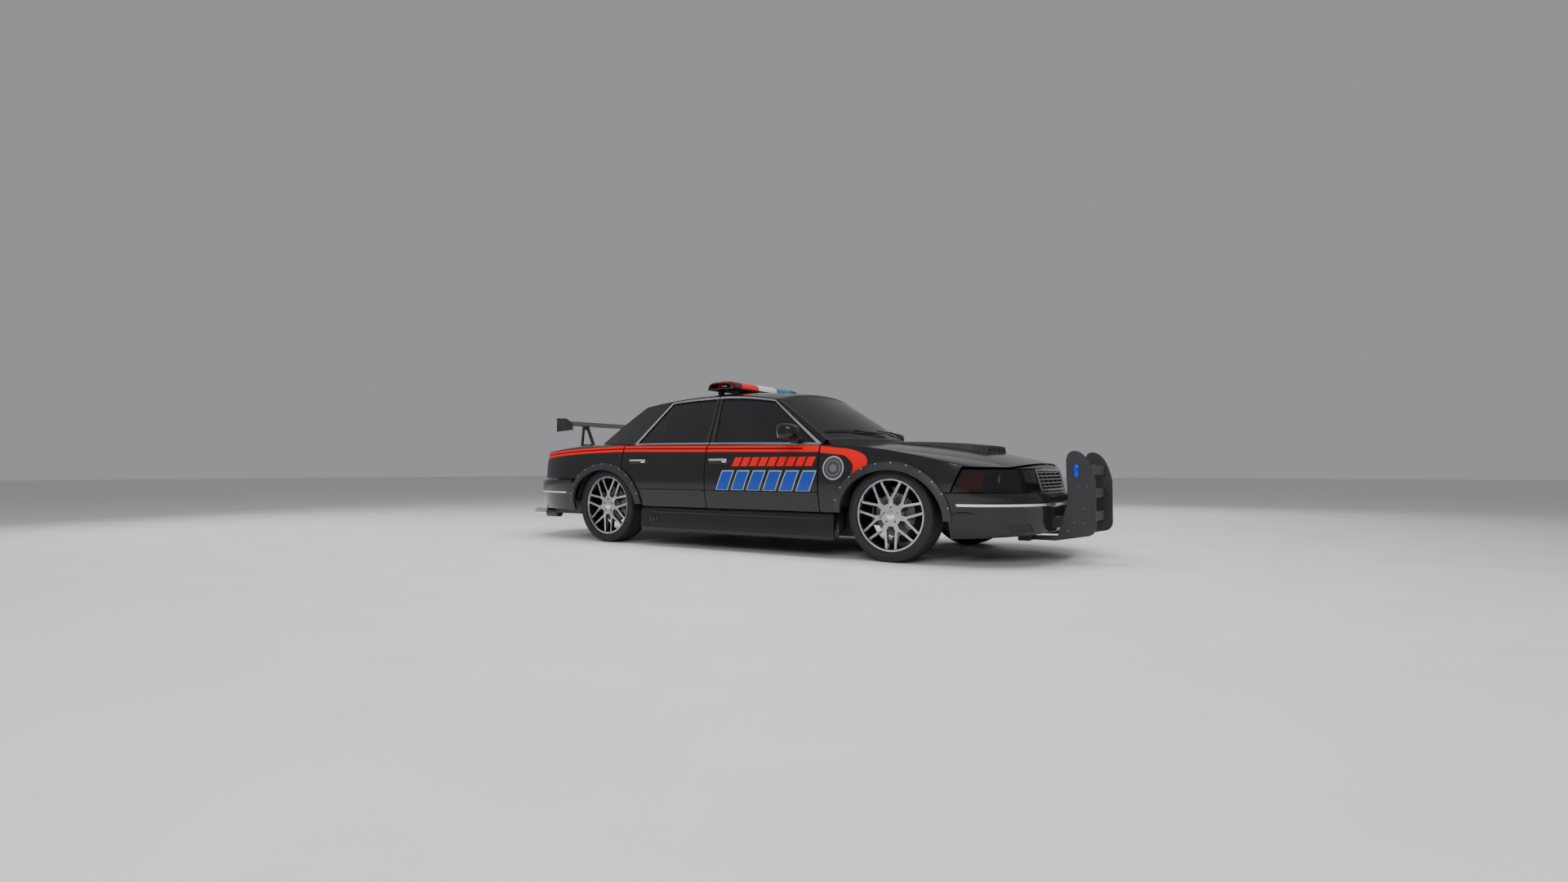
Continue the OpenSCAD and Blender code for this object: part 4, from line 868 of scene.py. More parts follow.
class SEDAN_OT_panels(bpy.types.Operator):
    """Fenders, quarters, roof, pillars, cowl and rear deck as smooth painted shells."""

    bl_idname = "sedan.panels"
    bl_label = "Body panels"

    def execute(self, context):
        rise = np.concatenate([np.linspace(0, 0.97, 22), np.linspace(1, 2, 22)])
        t, u = grid(rise, fender_columns())
        over = np.clip(t - 1, 0, 1)
        inner = fender_point(np.minimum(u, 0.985), t) + stack(0 * t, 20 * (1 - over), -13 * over)
        fender = panel(fender_point(u, t), inner)
        make("fender_skins", both(fender), "paint", replaces=["front_fenders"])
        t, u = grid(rise, quarter_columns())
        over = np.clip(t - 1, 0, 1)
        inner = quarter_point(np.clip(u, 0.012, 0.99), t) + stack(0 * t, 20 * (1 - over), -20 * over)
        quarter = panel(quarter_point(u, t), inner)
        make("quarter_skins", both(quarter), "paint", replaces=["quarter_panels"])
        v, t = grid((-1, 1, 61), (0, 1, 61))
        drop = np.where(np.abs(v) > 0.98, 12, 26)
        inner = roof_skin(np.clip(t, 0.01, 0.99), np.clip(v, -0.9, 0.9)) - upward(drop)
        make("roof_skin", panel(roof_skin(t, v), inner, 2), "paint", replaces=["roof_panel"])
        make("rear_deck_skin", self.deck(), "paint", replaces=["rear_deck"])
        make("cowl_grille", self.cowl(), "trim", replaces=["cowl_panel"])
        self.pillars()
        return {"FINISHED"}

    def deck(self):
        """Strip between the rear window's foot and the trunk lid."""
        v, t = grid((-0.8, 0.8, 41), (0, 1, 5))
        b = back_base(v)
        y = b[..., 1]
        outer = stack(mix(LID_FRONT_X + GAP, b[..., 0] - 0.5, t), y, mix(lid_h(0, y), b[..., 2] - 0.3, t))
        return panel(outer, outer - [0, 0, 18], 1.5)

    def cowl(self):
        """Strip between the windshield's foot and the hood, with a row of drain slots sunk into it."""
        v, t = grid((-0.97, 0.97, 195), (0, 1, 13))
        b = shield_base(v)
        y = b[..., 1]
        z = mix(b[..., 2] - 2, hood_h(0, y) - 14, t)
        slot = (np.sin(v * 130) > 0.1) & (np.abs(t - 0.5) < 0.26) & (np.abs(v) < 0.86)
        outer = stack(mix(b[..., 0] + 0.5, hood_rear(y) - 6, t), y, z - 4 * slot)
        return panel(outer, stack(outer[..., 0], y, z - 18), 1)

    def pillars(self):
        """Front and rear pillars as smooth skins, with plain posts behind them."""
        r, u = grid((0, 1, 31), (0, 1, 7))
        back_x, back_z = mix(830, 304, r), mix(belt_z(830.0) + 18, rail_z(304) - 3, r)
        front_x = mix(SHIELD_X, SHIELD_HEAD_X, r) - PILLAR_SET_BACK
        front_z = mix(SHIELD_Z, rail_z(SHIELD_HEAD_X) - 2, r) + 6 * np.sin(pi * r) - 0.5
        x, z = mix(back_x, front_x, u), mix(back_z, front_z, u)
        outer = stack(x, -glass_h(x, z), z)
        front = panel(outer, outer + [0, 40, 0], 1.5)
        r, u = grid((0, 1, 31), (0, 1, 25))

        def skin(r, u):
            x = mix(mix(BACK_X, BACK_HEAD_X, r) + PILLAR_SET_BACK, mix(-1166, -840, r), u)
            foot = mix(CORNER_Z + 3, belt_z(-1166.0) + 15, u)
            z = mix(foot, rail_z(mix(-1191.4, -840, u)) - 0.8, r) + 8 * np.sin(pi * r) * (1 - u)
            return stack(x, -glass_h(x, z), z)

        rear = panel(skin(r, u), skin(np.minimum(r, 0.95), np.clip(u, 0.02, 0.97)) + [0, 34, 0], 1.5)
        # Posts behind the shut lines, as plain bars with rolled edges
        posts = [
            rounded_box((905, -879.5, 340.5), (965, -770, 840), 14, 12),
            rounded_box((905, -968, 580), (965, -780, 620), 14, 12),
        ]
        outline = np.array([(-840, 340.5), (-800, 340.5), (-785, 880),
                            (-570, 1262), (-625, 1270), (-838, 885)])
        ends = np.stack([stack(x, outline[:, 0], outline[:, 1]) for x in (-300, -150)])
        near, after = np.arange(6), np.roll(np.arange(6), -1)
        walls = np.stack([near, after, after + 6, near + 6], 1).tolist()
        post = (ends.reshape(-1, 3), walls + [list(range(5, -1, -1)), list(range(6, 12))])
        make("pillar_skins", both(front, rear, *posts, post), "paint", replaces=["pillars"])


class SEDAN_OT_doors(bpy.types.Operator):
    """Four doors with their window frames, panes, handles, mouldings, bright strips and mirrors."""

    bl_idname = "sedan.doors"
    bl_label = "Doors"

    def execute(self, context):
        for place, d in DOORS.items():
            for side in SIDES:
                body = f"{place}_{side}_door"
                lever, cup = self.handle(-72 if place == "front" else -985)
                # Name of the piece, its mesh, its finish and the node that it replaces
                pieces = (
                    ("door_{}_skin", self.skin(d), "paint", [f"{place}_door_{side}"]),
                    ("pane_{}", self.pane(d), "glass", [f"{place}_glass_{side}"]),
                    ("bright_{}", self.bright(d, place), "chrome", ()),
                    ("moulding_{}", self.moulding(d), "paint", ()),
                    ("post_tape_{}", self.tape(d, place), "trim", ()),
                    ("handle_{}", lever, "chrome", ()),
                    ("handle_cup_{}", cup, "gloss_trim", ()),
                    ("lining_{}", self.lining(d), "cabin", ()),
                )
                for name, part, finish, replaced in pieces:
                    name = f"{place}_{name.format(side)}"
                    make(name, on_side(part, side), finish, body, replaced)
        for side in SIDES:
            body = f"front_{side}_door"
            housing, mirror_glass = self.mirror()
            make(f"mirror_{side}_housing", on_side(housing, side), "paint", body, [f"mirror_{side}"])
            make(f"mirror_{side}_glass", on_side(mirror_glass, side), "chrome", body)
        return {"FINISHED"}

    def skin(self, d):
        """Door shell: the low skin up to the belt, then the window's frame, with the window left open."""
        cols = [np.linspace(0, 0.05, 4), np.linspace(0.05, 0.95, 40), np.linspace(0.95, 1, 4)]
        cols = np.unique(np.concatenate(cols))
        low_rows = np.linspace(0, 1, 34)
        high_rows = np.unique(np.concatenate([[0, 0.03], np.linspace(0.03, 0.93, 24), [0.93, 0.965, 1]]))
        t, u = grid(low_rows, cols)
        r, w = grid(high_rows, cols)
        outer = np.concatenate([door_low(d, u, t), door_high(d, w, r)])
        belt = t > 0.999
        low_in = door_low(d, np.clip(u, 0.014, 0.986), np.maximum(t, 0.024))
        low_in = low_in + stack(0 * t, np.where(belt, DOOR_T - 20, DOOR_T), np.where(belt, -14, 0))
        high_in = door_high(d, np.clip(w, 0.012, 0.988), np.minimum(r, 0.968)) + [0, FRAME_T, 0]
        outer, inner = soften(outer, np.concatenate([low_in, high_in]), 2.5)
        rows = np.concatenate([[-1], low_rows * 0, high_rows, [2]])
        sides = np.concatenate([[-1], cols, [2]])
        row_open = (rows[:-1] > 0.02) & (rows[1:] < 0.94)
        col_open = (sides[:-1] > 0.045) & (sides[1:] < 0.955)
        return shell(outer, inner, ~(row_open[:, None] & col_open[None, :]))

    def pane(self, d):
        """Pane 10 mm behind the frame's face."""
        r, u = grid((0.034, 0.926, 17), (0.052, 0.948, 33))
        outer = door_high(d, u, r) + [0, 10, 0]
        return shell(outer, outer + [0, 5, 0])

    def bright(self, d, place):
        """Bright strips over the frame: along the belt, over the top and down the outer end."""
        w = bpy.context.scene.sedan_trim.bright_width / MM
        window_height = 400.0
        share = w / window_height
        long = (0.002, 0.998, 60)

        def over(r, u):
            return door_high(d, u, r)

        strips = [
            patch(over, (-0.004, share * 0.6, 4), long, 3.0, -1, 1),
            patch(over, (0.985 - share, 0.985, 4), long, 3.0, -1, 1),
        ]
        span = 0.5 * (d.base_front - d.base_rear + d.top_front - d.top_rear)
        wide = 2.0 * w / span
        start = 0.998 - wide if place == "front" else 0.002
        end = (start, start + wide, 4)
        strips.append(patch(over, (0.01, 0.985, 40), end, 3.0, -1, 1))
        return joined(strips)

    def tape(self, d, place):
        """Dull black cover of the door's post, with the upright divider of the rear door's window."""
        post = (0.006, 0.046, 5) if place == "front" else (0.954, 0.994, 5)
        rows = (0.03, 0.95, 40)

        def over(r, u):
            return door_high(d, u, r)

        strips = [patch(over, rows, post, 1.6, -1, 0.8)]
        if place == "rear":
            strips.append(patch(lambda r, u: over(r, u - 0.31 * r) + [0, 10, 0],
                                (0.034, 0.926, 30), (0.38, 0.4, 4), 3.5, -1, 1))
        return joined(strips)

    def moulding(self, d):
        """Rubbing strip along the door's lower half, rounded in its section."""

        def over(r, u):
            x = mix(d.belt_rear + 10, d.belt_front - 10, u)
            z = mix(486, 510, r)
            return stack(x, -side_h(x, z) - 6.4 * np.sin(pi * np.clip(r, 0.02, 0.98)) ** 0.5, z)

        rear = 0.0
        if d.belt_rear == DOOR_REAR_X:
            rear = (float(flare_edge(498.0)) + 12 - d.belt_rear) / (d.belt_front - d.belt_rear)
        return patch(over, (0, 1, 9), (max(rear, 0.0), 1, 60), 0.4, -4, 1)

    def handle(self, x):
        """Bright bow with a broad front end over a black paddle and cup."""
        z = 752.0
        y = -float(side_h(x, z))

        def cup(r, u):
            lx = x + 97 * u
            lz = z - 8 + 27 * r
            return stack(lx, -side_h(lx, lz), lz)

        recess = patch(cup, (-1, 1, 9), (-1, 1, 21), 1.2, -3, 1)
        paddle = rounded_box((x - 88, y - 20, z - 24), (x + 52, y - 2, z + 6), 4, 16)
        bow = rounded_box((x - 96, y - 27, z), (x + 96, y - 1, z + 19), 4, 18)
        grip = rounded_box((x + 46, y - 26, z - 17), (x + 96, y - 1, z + 18), 3.4, 16)
        return joined([bow, grip]), joined([recess, paddle])

    def lining(self, d):
        """Moulded card on the door's inner face, stepped at mid height, with armrest, pull and map pocket."""
        t, u = grid((0.2, 0.93, 31), (0.14, 0.88, 41))
        base = door_low(d, u, t)
        step = 5 + 6 * np.clip((t - 0.5) / 0.06, 0, 1)
        card = panel(base + [0, DOOR_T + 0.4, 0], base + stack(0 * t, DOOR_T + step, 0 * t), 2)
        x = 0.5 * (d.belt_rear + d.belt_front)
        y = DOOR_T - float(side_h(x, 625.0))
        rest = rounded_box((x - 220, y + 2, 596), (x + 180, y + 62, 648), 4, 20)
        pull = rounded_box((x + 60, y + 4, 690), (x + 190, y + 26, 716), 4, 14)
        pocket = rounded_box((x - 170, y - 2, 420), (x + 230, y + 30, 500), 5, 18)
        return joined([card, rest, pull, pocket])

    def mirror(self):
        """Mirror housing: a rounded box that narrows forward, on a flat foot, with its glass facing back."""
        points, faces = rounded_box((572, -1077, 912), (706, -896, 1042), 4.0, 30)
        ahead = np.clip((points[:, 0] - 600) / 106, 0, 1)
        middle = np.array([0, -987, 974])
        squeeze = 1 - 0.34 * ahead[:, None] ** 2 * np.array([0, 1, 1])
        points = middle * [0, 1, 1] + (points - middle * [0, 1, 1]) * squeeze
        foot = rounded_box((604, -950, 886), (694, -846, 934), 5, 14)
        lat, lon = grid((-1, 1, 15), (-1, 1, 21))
        wide = -987 - 82 * lon * np.sqrt(1 - 0.24 * lat**2)
        face = stack(572 + 3 * (lat**2 + lon**2), wide, 977 + 58 * lat * np.sqrt(1 - 0.24 * lon**2))
        glass = panel(face[:, ::-1], face[:, ::-1] + [4, 0, 0], 1)
        return joined([(points, faces), foot]), glass


class SEDAN_OT_hood_and_trunk(bpy.types.Operator):
    """Hood with its scoop, trunk lid and rear wing."""

    bl_idname = "sedan.hood_and_trunk"
    bl_label = "Hood and trunk"

    def execute(self, context):
        v, s = grid((-1, 1, 71), (0, 1, 71))
        inner = hood_point(np.clip(s, 0.012, 0.988), np.clip(v, -0.985, 0.985)) - upward(self.thickness(s))
        make("hood_skin", panel(hood_point(s, v), inner), "paint", "hood_lid", ["hood"])
        make("scoop_skin", self.scoop(), "matte", "hood_lid", ["hood_scoop"])
        make("scoop_louvres", self.louvres(), "under", "hood_lid")
        make("hood_pad", self.pad(), "under", "hood_lid")
        cols = np.concatenate([np.linspace(2, 1.1, 18), np.linspace(1.06, 0.94, 7), np.linspace(0.9, 0, 30)])
        v, s = grid((-1, 1, 61), cols)
        lift = stack(np.where(s >= 1, 26, 0), 0 * s, np.where(s <= 1, -26, 0))
        inner = lid_point(np.clip(s, 0.016, 1.97), np.clip(v, -0.98, 0.98)) + lift
        make("trunk_skin", panel(lid_point(s, v), inner), "paint", "trunk", ["trunk_lid"])
        refined("rear_wing", "trim", "trunk", 1.5)
        make("trunk_sides", self.trunk_sides(), "under")
        return {"FINISHED"}

    def thickness(self, s):
        """Thickness of the hood, which thins out to its front edge."""
        return mix(28, 9, s**4)

    def trunk_sides(self):
        """Upright plates from the trunk's floor to just under the quarter panels' inner edges."""
        t, s = grid((0, 1, 5), (0.99, 0.02, 41))
        edge = lid_point(s, -1)
        skin = stack(edge[..., 0], np.full_like(s, -626.0), mix(500, edge[..., 2] - 14, t))
        return both(panel(skin, skin + [0, 5, 0], 1))

    def pad(self):
        """Sound pad under the hood, quilted by the product of two sine waves."""
        v, s = grid((-0.84, 0.84, 85), (0.1, 0.84, 71))
        under = hood_point(s, v) - upward(self.thickness(s) + 0.4)
        quilt = np.sqrt(np.abs(np.sin(6 * pi * (v + 0.84) / 1.68) * np.sin(5 * pi * (s - 0.1) / 0.74)))
        return panel(under, under - upward(3 + 8 * quilt), 1)

    def scoop_skin(self, v, s, share):
        """Raised plateau on the hood: a rounded step across that rises forward; share scales its height."""
        x = SCOOP_X + SCOOP_LEN * s
        y = v * SCOOP_HALF
        edge = np.clip((1 - np.abs(v)) / 0.14, 0, 1)
        rise = 6 + (mix(14, 52, s) - 6) * edge * edge * (3 - 2 * edge)
        rise = rise * mix(0.5, 1, np.clip(s / 0.12, 0, 1))
        return stack(x, y, hood_at(x, y) + 0.4 + rise * share)

    def scoop(self):
        """The plateau as one closed shell on the hood."""
        v, s = grid((-1, 1, 61), (0, 1, 61))
        return panel(self.scoop_skin(v, s, 1), self.scoop_skin(v, s, 0), 1.5)

    def louvres(self):
        """Three dark slots in each front corner of the scoop and four in its mouth."""
        slots = []
        for start in (0.86, 0.905, 0.95):
            for low, high in ((-0.985, -0.9), (0.9, 0.985)):
                slots.append(patch(lambda v, s: self.scoop_skin(v, s, 1), (low, high, 7),
                                   (start, start + 0.03, 5), 1.6, -2, 1))
        y = np.linspace(-0.84, 0.84, 5) * SCOOP_HALF
        for left, right in zip(y[:-1], y[1:]):
            x = SCOOP_X + SCOOP_LEN
            z = float(hood_at(x, 0.5 * (left + right)))
            slots.append(rounded_box((x - 16, left + 5, z + 8), (x + 1.2, right - 5, z + 44), 6, 12))
        return joined(slots)


class SEDAN_OT_glass(bpy.types.Operator):
    """Windshield and rear window with their black borders, and the wipers."""

    bl_idname = "sedan.glass"
    bl_label = "Glass and wipers"

    def execute(self, context):
        def front(v, t):
            return mix(shield_top(v), shield_base(v), t[..., None]) + upward(6 * np.sin(pi * t))

        def back(v, t):
            return mix(back_base(v), back_top(v), t[..., None]) + upward(8 * np.sin(pi * t))

        v, t = grid((-1, 1, 61), (0, 1, 31))
        panes = (("windshield_pane", front, "windshield"), ("rear_pane", back, "rear_window"))
        for name, surface, node in panes:
            skin = surface(v, t)
            make(name, shell(skin, skin - [0, 0, 4]), "glass", replaces=[node])
        borders = []
        for surface in (front, back):
            for rows, cols in (
                ((-1, -0.955, 4), (0, 1, 31)),
                ((0.955, 1, 4), (0, 1, 31)),
                ((-0.955, 0.955, 61), (0, 0.045, 4)),
                ((-0.955, 0.955, 61), (0.955, 1, 4)),
            ):
                borders.append(patch(surface, rows, cols, 1.2, 0.2, 0.4))
        make("glass_borders", joined(borders), "trim")
        wipers = []
        for y0, y1 in ((-60, -640), (470, -40)):
            blade = np.linspace(0, 1, 14)
            share = mix(y0, y1, blade) / 700
            low = front(share, 1 - 0.12 - 0.05 * np.sin(pi * blade * 0.5))
            wipers.append(tube(low + [4, 0, 9], 5, 8))
            foot = front(np.array([y0 / 700]), np.array([0.95]))[0] + [4, 0, 6]
            elbow = low[7] + [6, 0, 16]
            bow = np.outer(np.sin(np.linspace(0, pi, 9)), [4, 0, 6])
            wipers.append(tube(np.linspace(foot, elbow, 9) + bow, 6, 8))
        make("wipers", joined(wipers), "trim")
        return {"FINISHED"}


class SEDAN_OT_ends(bpy.types.Operator):
    """Bumpers with their bright strips, grille, headlamps and tail lamps."""

    bl_idname = "sedan.ends"
    bl_label = "Bumpers and lamps"

    # Rows of the bumpers: height and length of the rounded end there
    FRONT = ((192, 690), (215, 712), (300, 718), (415, 722), (425, 728), (440, 728), (450, 720), (490, 714),
             (512, 700), (518, 596))
    REAR = ((292, 900), (330, 918), (400, 922), (470, 922), (540, 915), (572, 900), (584, 832))
    # Section of a lamp's reflector: radius and height
    EYE = ((46, 0), (52, 4), (52, 12), (47, 16), (40, 12), (30, -2), (12, -8), (1, -9), (1, -14), (44, -12))

    def execute(self, context):
        front = self.bumper(self.FRONT, self.front_skin, 200, 506, 700)
        make("front_bumper_skin", front, "paint", replaces=["front_bumper"])
        rear = self.bumper(self.REAR, self.rear_skin, 300, 566, 900)
        make("rear_bumper_skin", rear, "paint", replaces=["rear_bumper"])
        strips = [self.strip(self.front_skin, 728, (423, 441, 5), 0.93, 3.5),
                  self.strip(self.rear_skin, 922, (452, 466, 5), 0.95, 3.0)]
        make("bumper_bright", joined(strips), "chrome")
        make("grille_bars", self.grille_bars(), "grille", replaces=["grille"])
        make("grille_frame", self.grille_frame(), "grille")
        make("nose_header", self.header(), "paint")
        make("grille_back", self.grille_back(), "under")
        make("bumper_vents", self.vents(), "tyre")
        make("splash_tray", self.tray(), "under")
        make("corner_fins", self.fins(), "matte")
        self.headlamps()
        self.tail_lamps()
        return {"FINISHED"}

    def rows(self, table, count=5):
        """The table's rows with evenly spaced rows between them."""
        table = np.array(table, float)
        share = np.linspace(0, len(table) - 1, (len(table) - 1) * count + 1)
        return np.stack([np.interp(share, np.arange(len(table)), table[:, c]) for c in (0, 1)], 1)

    def front_skin(self, u, height, length, inset):
        """Front bumper at share u of its wrap, lower lip raised in the middle."""
        lift = np.where(height < 250, 46 * (1 - np.abs(u)) * (250 - height) / 58, 0)
        z = height + lift
        end = ARCH_FRONT_X + arch_d(z, ARCH_A, ARCH_B) + (10 if inset else 0)
        return nose_point(end_turn(end - NOSE_START, NOSE_LEN) * u, z, length - inset, section(z) - inset)

    def bumper(self, table, skin, low, high, longest):
        """Closed bumper over a table's rows; its inner face stays between two heights and within a length."""
        table = self.rows(table)
        wrap = np.linspace(-1, 1, 121)
        i, u = grid(np.arange(len(table)), np.sign(wrap) * np.abs(wrap) ** 0.8)
        h, a = table[i.astype(int), 0], table[i.astype(int), 1]
        return panel(skin(u, h, a, 0), skin(u, np.clip(h, low, high), np.minimum(a, longest), 30), 2)

    def strip(self, skin, length, rows, wrap, proud):
        """Bright strip along a bumper's ridge."""
        return patch(lambda z, u: skin(u, z, length + 0 * z, 0), rows, (-wrap, wrap, 121), proud, 0.3, 1.5)

    def grille_skin(self, y, z, inset):
        """Leaning face of the grille at half width y."""
        return stack(end_x(y, z, NOSE_START, upper_nose(z) - inset), y, z)

    def grille_frame(self):
        """Broad bright-grey frame round the grille's openings."""

        def face(z, y):
            return self.grille_skin(y, z, 0)

        wide, high = (-340, 340, 81), (520, 680, 25)
        runs = (((520, 536, 5), wide), ((666, 681, 5), wide), (high, (-341, -322, 5)), (high, (322, 341, 5)))
        return joined([patch(face, rows, cols, 4.0, -2, 2) for rows, cols in runs])

    def grille_bars(self):
        """Five long bars and four upright ones behind them."""

        def face(z, y):
            return self.grille_skin(y, z, 4)

        wide, high = (-326, 326, 81), (532, 670, 15)
        bars = [patch(face, (z, z + 10, 4), wide, 1, -22, 2) for z in (548, 574, 600, 626, 652)]
        bars += [patch(face, high, (y - 3, y + 3, 4), -6, -24, 1) for y in (-196, -65, 65, 196)]
        return joined(bars)

    def header(self):
        """Painted strip from under the hood's front edge down to the grille and the headlamps."""
        t, y = grid((0, 1, 9), (-636, 636, 101))
        foot = stack(end_x(y, 684.0, NOSE_START, upper_nose(684.0)) - 3, y, np.full_like(y, 684.0))
        head = stack(hood_front(y) - 6, y, hood_h(1, y) - 11)
        skin = mix(foot, head, t[..., None])
        skin[..., 0] += 7 * np.sin(pi * t)
        return panel(skin, skin - [14, 0, 0], 1.5)

    def grille_back(self):
        """Dark sheet behind the grille's openings."""
        z, y = grid((524, 676, 9), (-330, 330, 41))
        return shell(self.grille_skin(y, z, 32), self.grille_skin(y, z, 38))

    def tray(self):
        """Tray from the front bumper's lower edge to the radiator, turned up before the wheel houses."""
        t, u = grid((0, 1, 25), (-0.99, 0.99, 121))
        edge = self.front_skin(u, np.full_like(u, 215.0), np.full_like(u, 712.0), 16)
        outside = np.clip((np.abs(edge[..., 1]) - 512) / 8, 0, 1)
        back = stack(np.minimum(edge[..., 0], mix(1640, 1928, outside)), edge[..., 1], edge[..., 2])
        skin = mix(edge, back, t[..., None]) + upward(195 * outside * t**6)
        return panel(skin, skin - [0, 0, 5], 1)

    def vents(self):
        """Slanted slots low in the bumper's corners and a long mouth under the grille."""

        def face(z, u):
            return self.front_skin(u, z, 718 + 0 * z, 0)

        def slot(start):
            def leaning(z, u):
                return face(z, u - start - (z - 240) * 0.0006)

            return patch(leaning, (242, 306, 9), (-0.019, 0.019, 5), 2.0, -2, 1.5)

        slots = both(*[slot(start) for start in (0.4, 0.452, 0.504, 0.556)])
        return joined([slots, patch(face, (262, 372, 9), (-0.2, 0.2, 41), 1.2, -2, 1.5)])

    def fins(self):
        """Small turned-up fins at the bumper's rear corners."""
        u, z = np.linspace(-0.985, -0.8, 13), 372.0
        edge = self.front_skin(u, np.full(13, z), np.full(13, 722.0), 0)
        out = np.clip(np.sin(np.linspace(0, pi, 13)), 0, 1)[:, None] * [0, -16, 9]
        rows = np.stack([edge + [0, 6, -3], edge + out * 0.6, edge + out])
        return both(panel(rows, rows - [0, 0, 4], 1))

    def rear_skin(self, u, height, length, inset):
        """Rear bumper at share u of its wrap."""
        end = -ARCH_REAR_X + arch_d(height, ARCH_A, ARCH_B) + (10 if inset else 0)
        w = end_turn(np.maximum(end, TAIL_START + 4) - TAIL_START, TAIL_LEN) * u
        return tail_point(w, height, length - inset, section(height) - inset)

    def lamp_skin(self, u, z, inset):
        """Headlamp lens between the fender and the grille, leaning back."""
        a = upper_nose(z)
        end = mix(1950, 2034, (z - 520) / 180)
        inner = np.arcsin((350 / section(z)) ** (PLAN_N / 2))
        return nose_point(-mix(end_turn(end - NOSE_START, a), inner, u), z, a - inset, section(z) - inset)

    def headlamps(self):
        """Smoked lenses over dark bowls, each with an amber corner and two round reflectors."""
        z, u = grid((518.2, 680, 25), (0, 1, 61))
        inner = self.lamp_skin(np.clip(u, 0.01, 0.99), np.clip(z, 521, 677), 5)
        lens = panel(self.lamp_skin(u, z, 0), inner, 2)
        make("headlamp_lenses", both(lens), "lens", replaces=["headlamps"])
        along = np.sin(np.clip((u - 0.34) / 0.62, 0, 1) * pi) ** 0.6
        depth = 26 + 22 * along * np.sin((z - 518) / 162 * pi) ** 0.5
        bowl_out = self.lamp_skin(np.clip(u, 0.012, 0.988), np.clip(z, 522, 676), depth)
        bowl = shell(bowl_out, self.lamp_skin(np.clip(u, 0.03, 0.97), np.clip(z, 526, 672), 56))
        make("headlamp_bowls", both(bowl), "under")
        amber = patch(lambda r, c: self.lamp_skin(c, r, 18), (530, 668, 9), (0.03, 0.30, 17), 0, -4)
        make("indicators", both(amber), "amber")
        eyes = []
        for share in (0.5, 0.8):
            centre = self.lamp_skin(np.array(share), np.array(602.0), 34.0)
            eyes.append(facing_ahead(revolve(self.EYE, 36), centre))
        make("headlamp_eyes", both(*eyes), "iron")

    def tail_lamps(self):
        """Dark red lenses round the rear corners, with two bars across and a clear lamp."""

        def skin(u, z, inset):
            a = mix(820, 750, (z - 590) / 230)
            outer = np.arccos(((GAP - QUARTER_X - TAIL_START) / a) ** (PLAN_M / 2))
            inner = np.arcsin(((LID_HALF + GAP) / section(z)) ** (PLAN_N / 2))
            return tail_point(mix(inner, outer, u), z, a - inset, section(z) - inset)

        def face(z, u):
            return skin(u, z, 0)

        z, u = grid((592, 812, 31), (0, 1, 31))
        lamp = panel(skin(u, z, 0), skin(np.clip(u, 0.07, 0.94), z, 45), 2)
        make("tail_lenses", both(lamp), "tail", replaces=["tail_lamps"])
        bars = [patch(face, (low, low + 9, 4), (0.05, 0.95, 25), 1.4, -1) for low in (662, 738)]
        make("tail_bars", both(*bars), "trim")
        clear = patch(face, (676, 732, 7), (0.08, 0.5, 15), 1.0, -1)
        make("reverse_lamps", both(clear), "clear")


class SEDAN_OT_flares(bpy.types.Operator):
    """Wheel flares with their bolts, and the ribbed skirts."""

    bl_idname = "sedan.flares"
    bl_label = "Flares and skirts"

    def execute(self, context):
        trim = context.scene.sedan_trim
        skins, bolts = [], []
        for middle, low, high in ((ARCH_FRONT_X, 2, 184), (ARCH_REAR_X, 2, 176)):
            w, k = grid(np.concatenate([np.linspace(1, 0.05, 14), [0]]), (low, high, 91))
            skins.append(panel(flare_point(k, w, 1, middle), flare_point(k, w, 0, middle), 1.5))
            for turn in np.linspace(low + 14, high - 14, trim.bolts):
                place = flare_point(np.array(turn), np.array(0.16), 1, middle)
                dome = rounded_box((-1, -0.6, -1), (1, 0.6, 1), 2.2, 7)
                bolts.append((dome[0] * trim.bolt_radius / MM + place, dome[1]))
        make("flare_skins", both(*skins), "matte", replaces=["wheel_flares"])
        make("flare_bolts", both(*bolts), "steel")
        refined("side_skirts", "paint", bevel=4)
        ribs = ((300, 16), (196, 9))
        creases = [rounded_box((-850, -974, z), (960, -958, z + high), 5, 14) for z, high in ribs]
        for i, x in enumerate((-842, -806, -770)):
            creases.append(rounded_box((x, -975, 214 + 8 * i), (x + 22, -958, 288), 6, 12))
        make("skirt_creases", both(*creases), "paint")
        return {"FINISHED"}


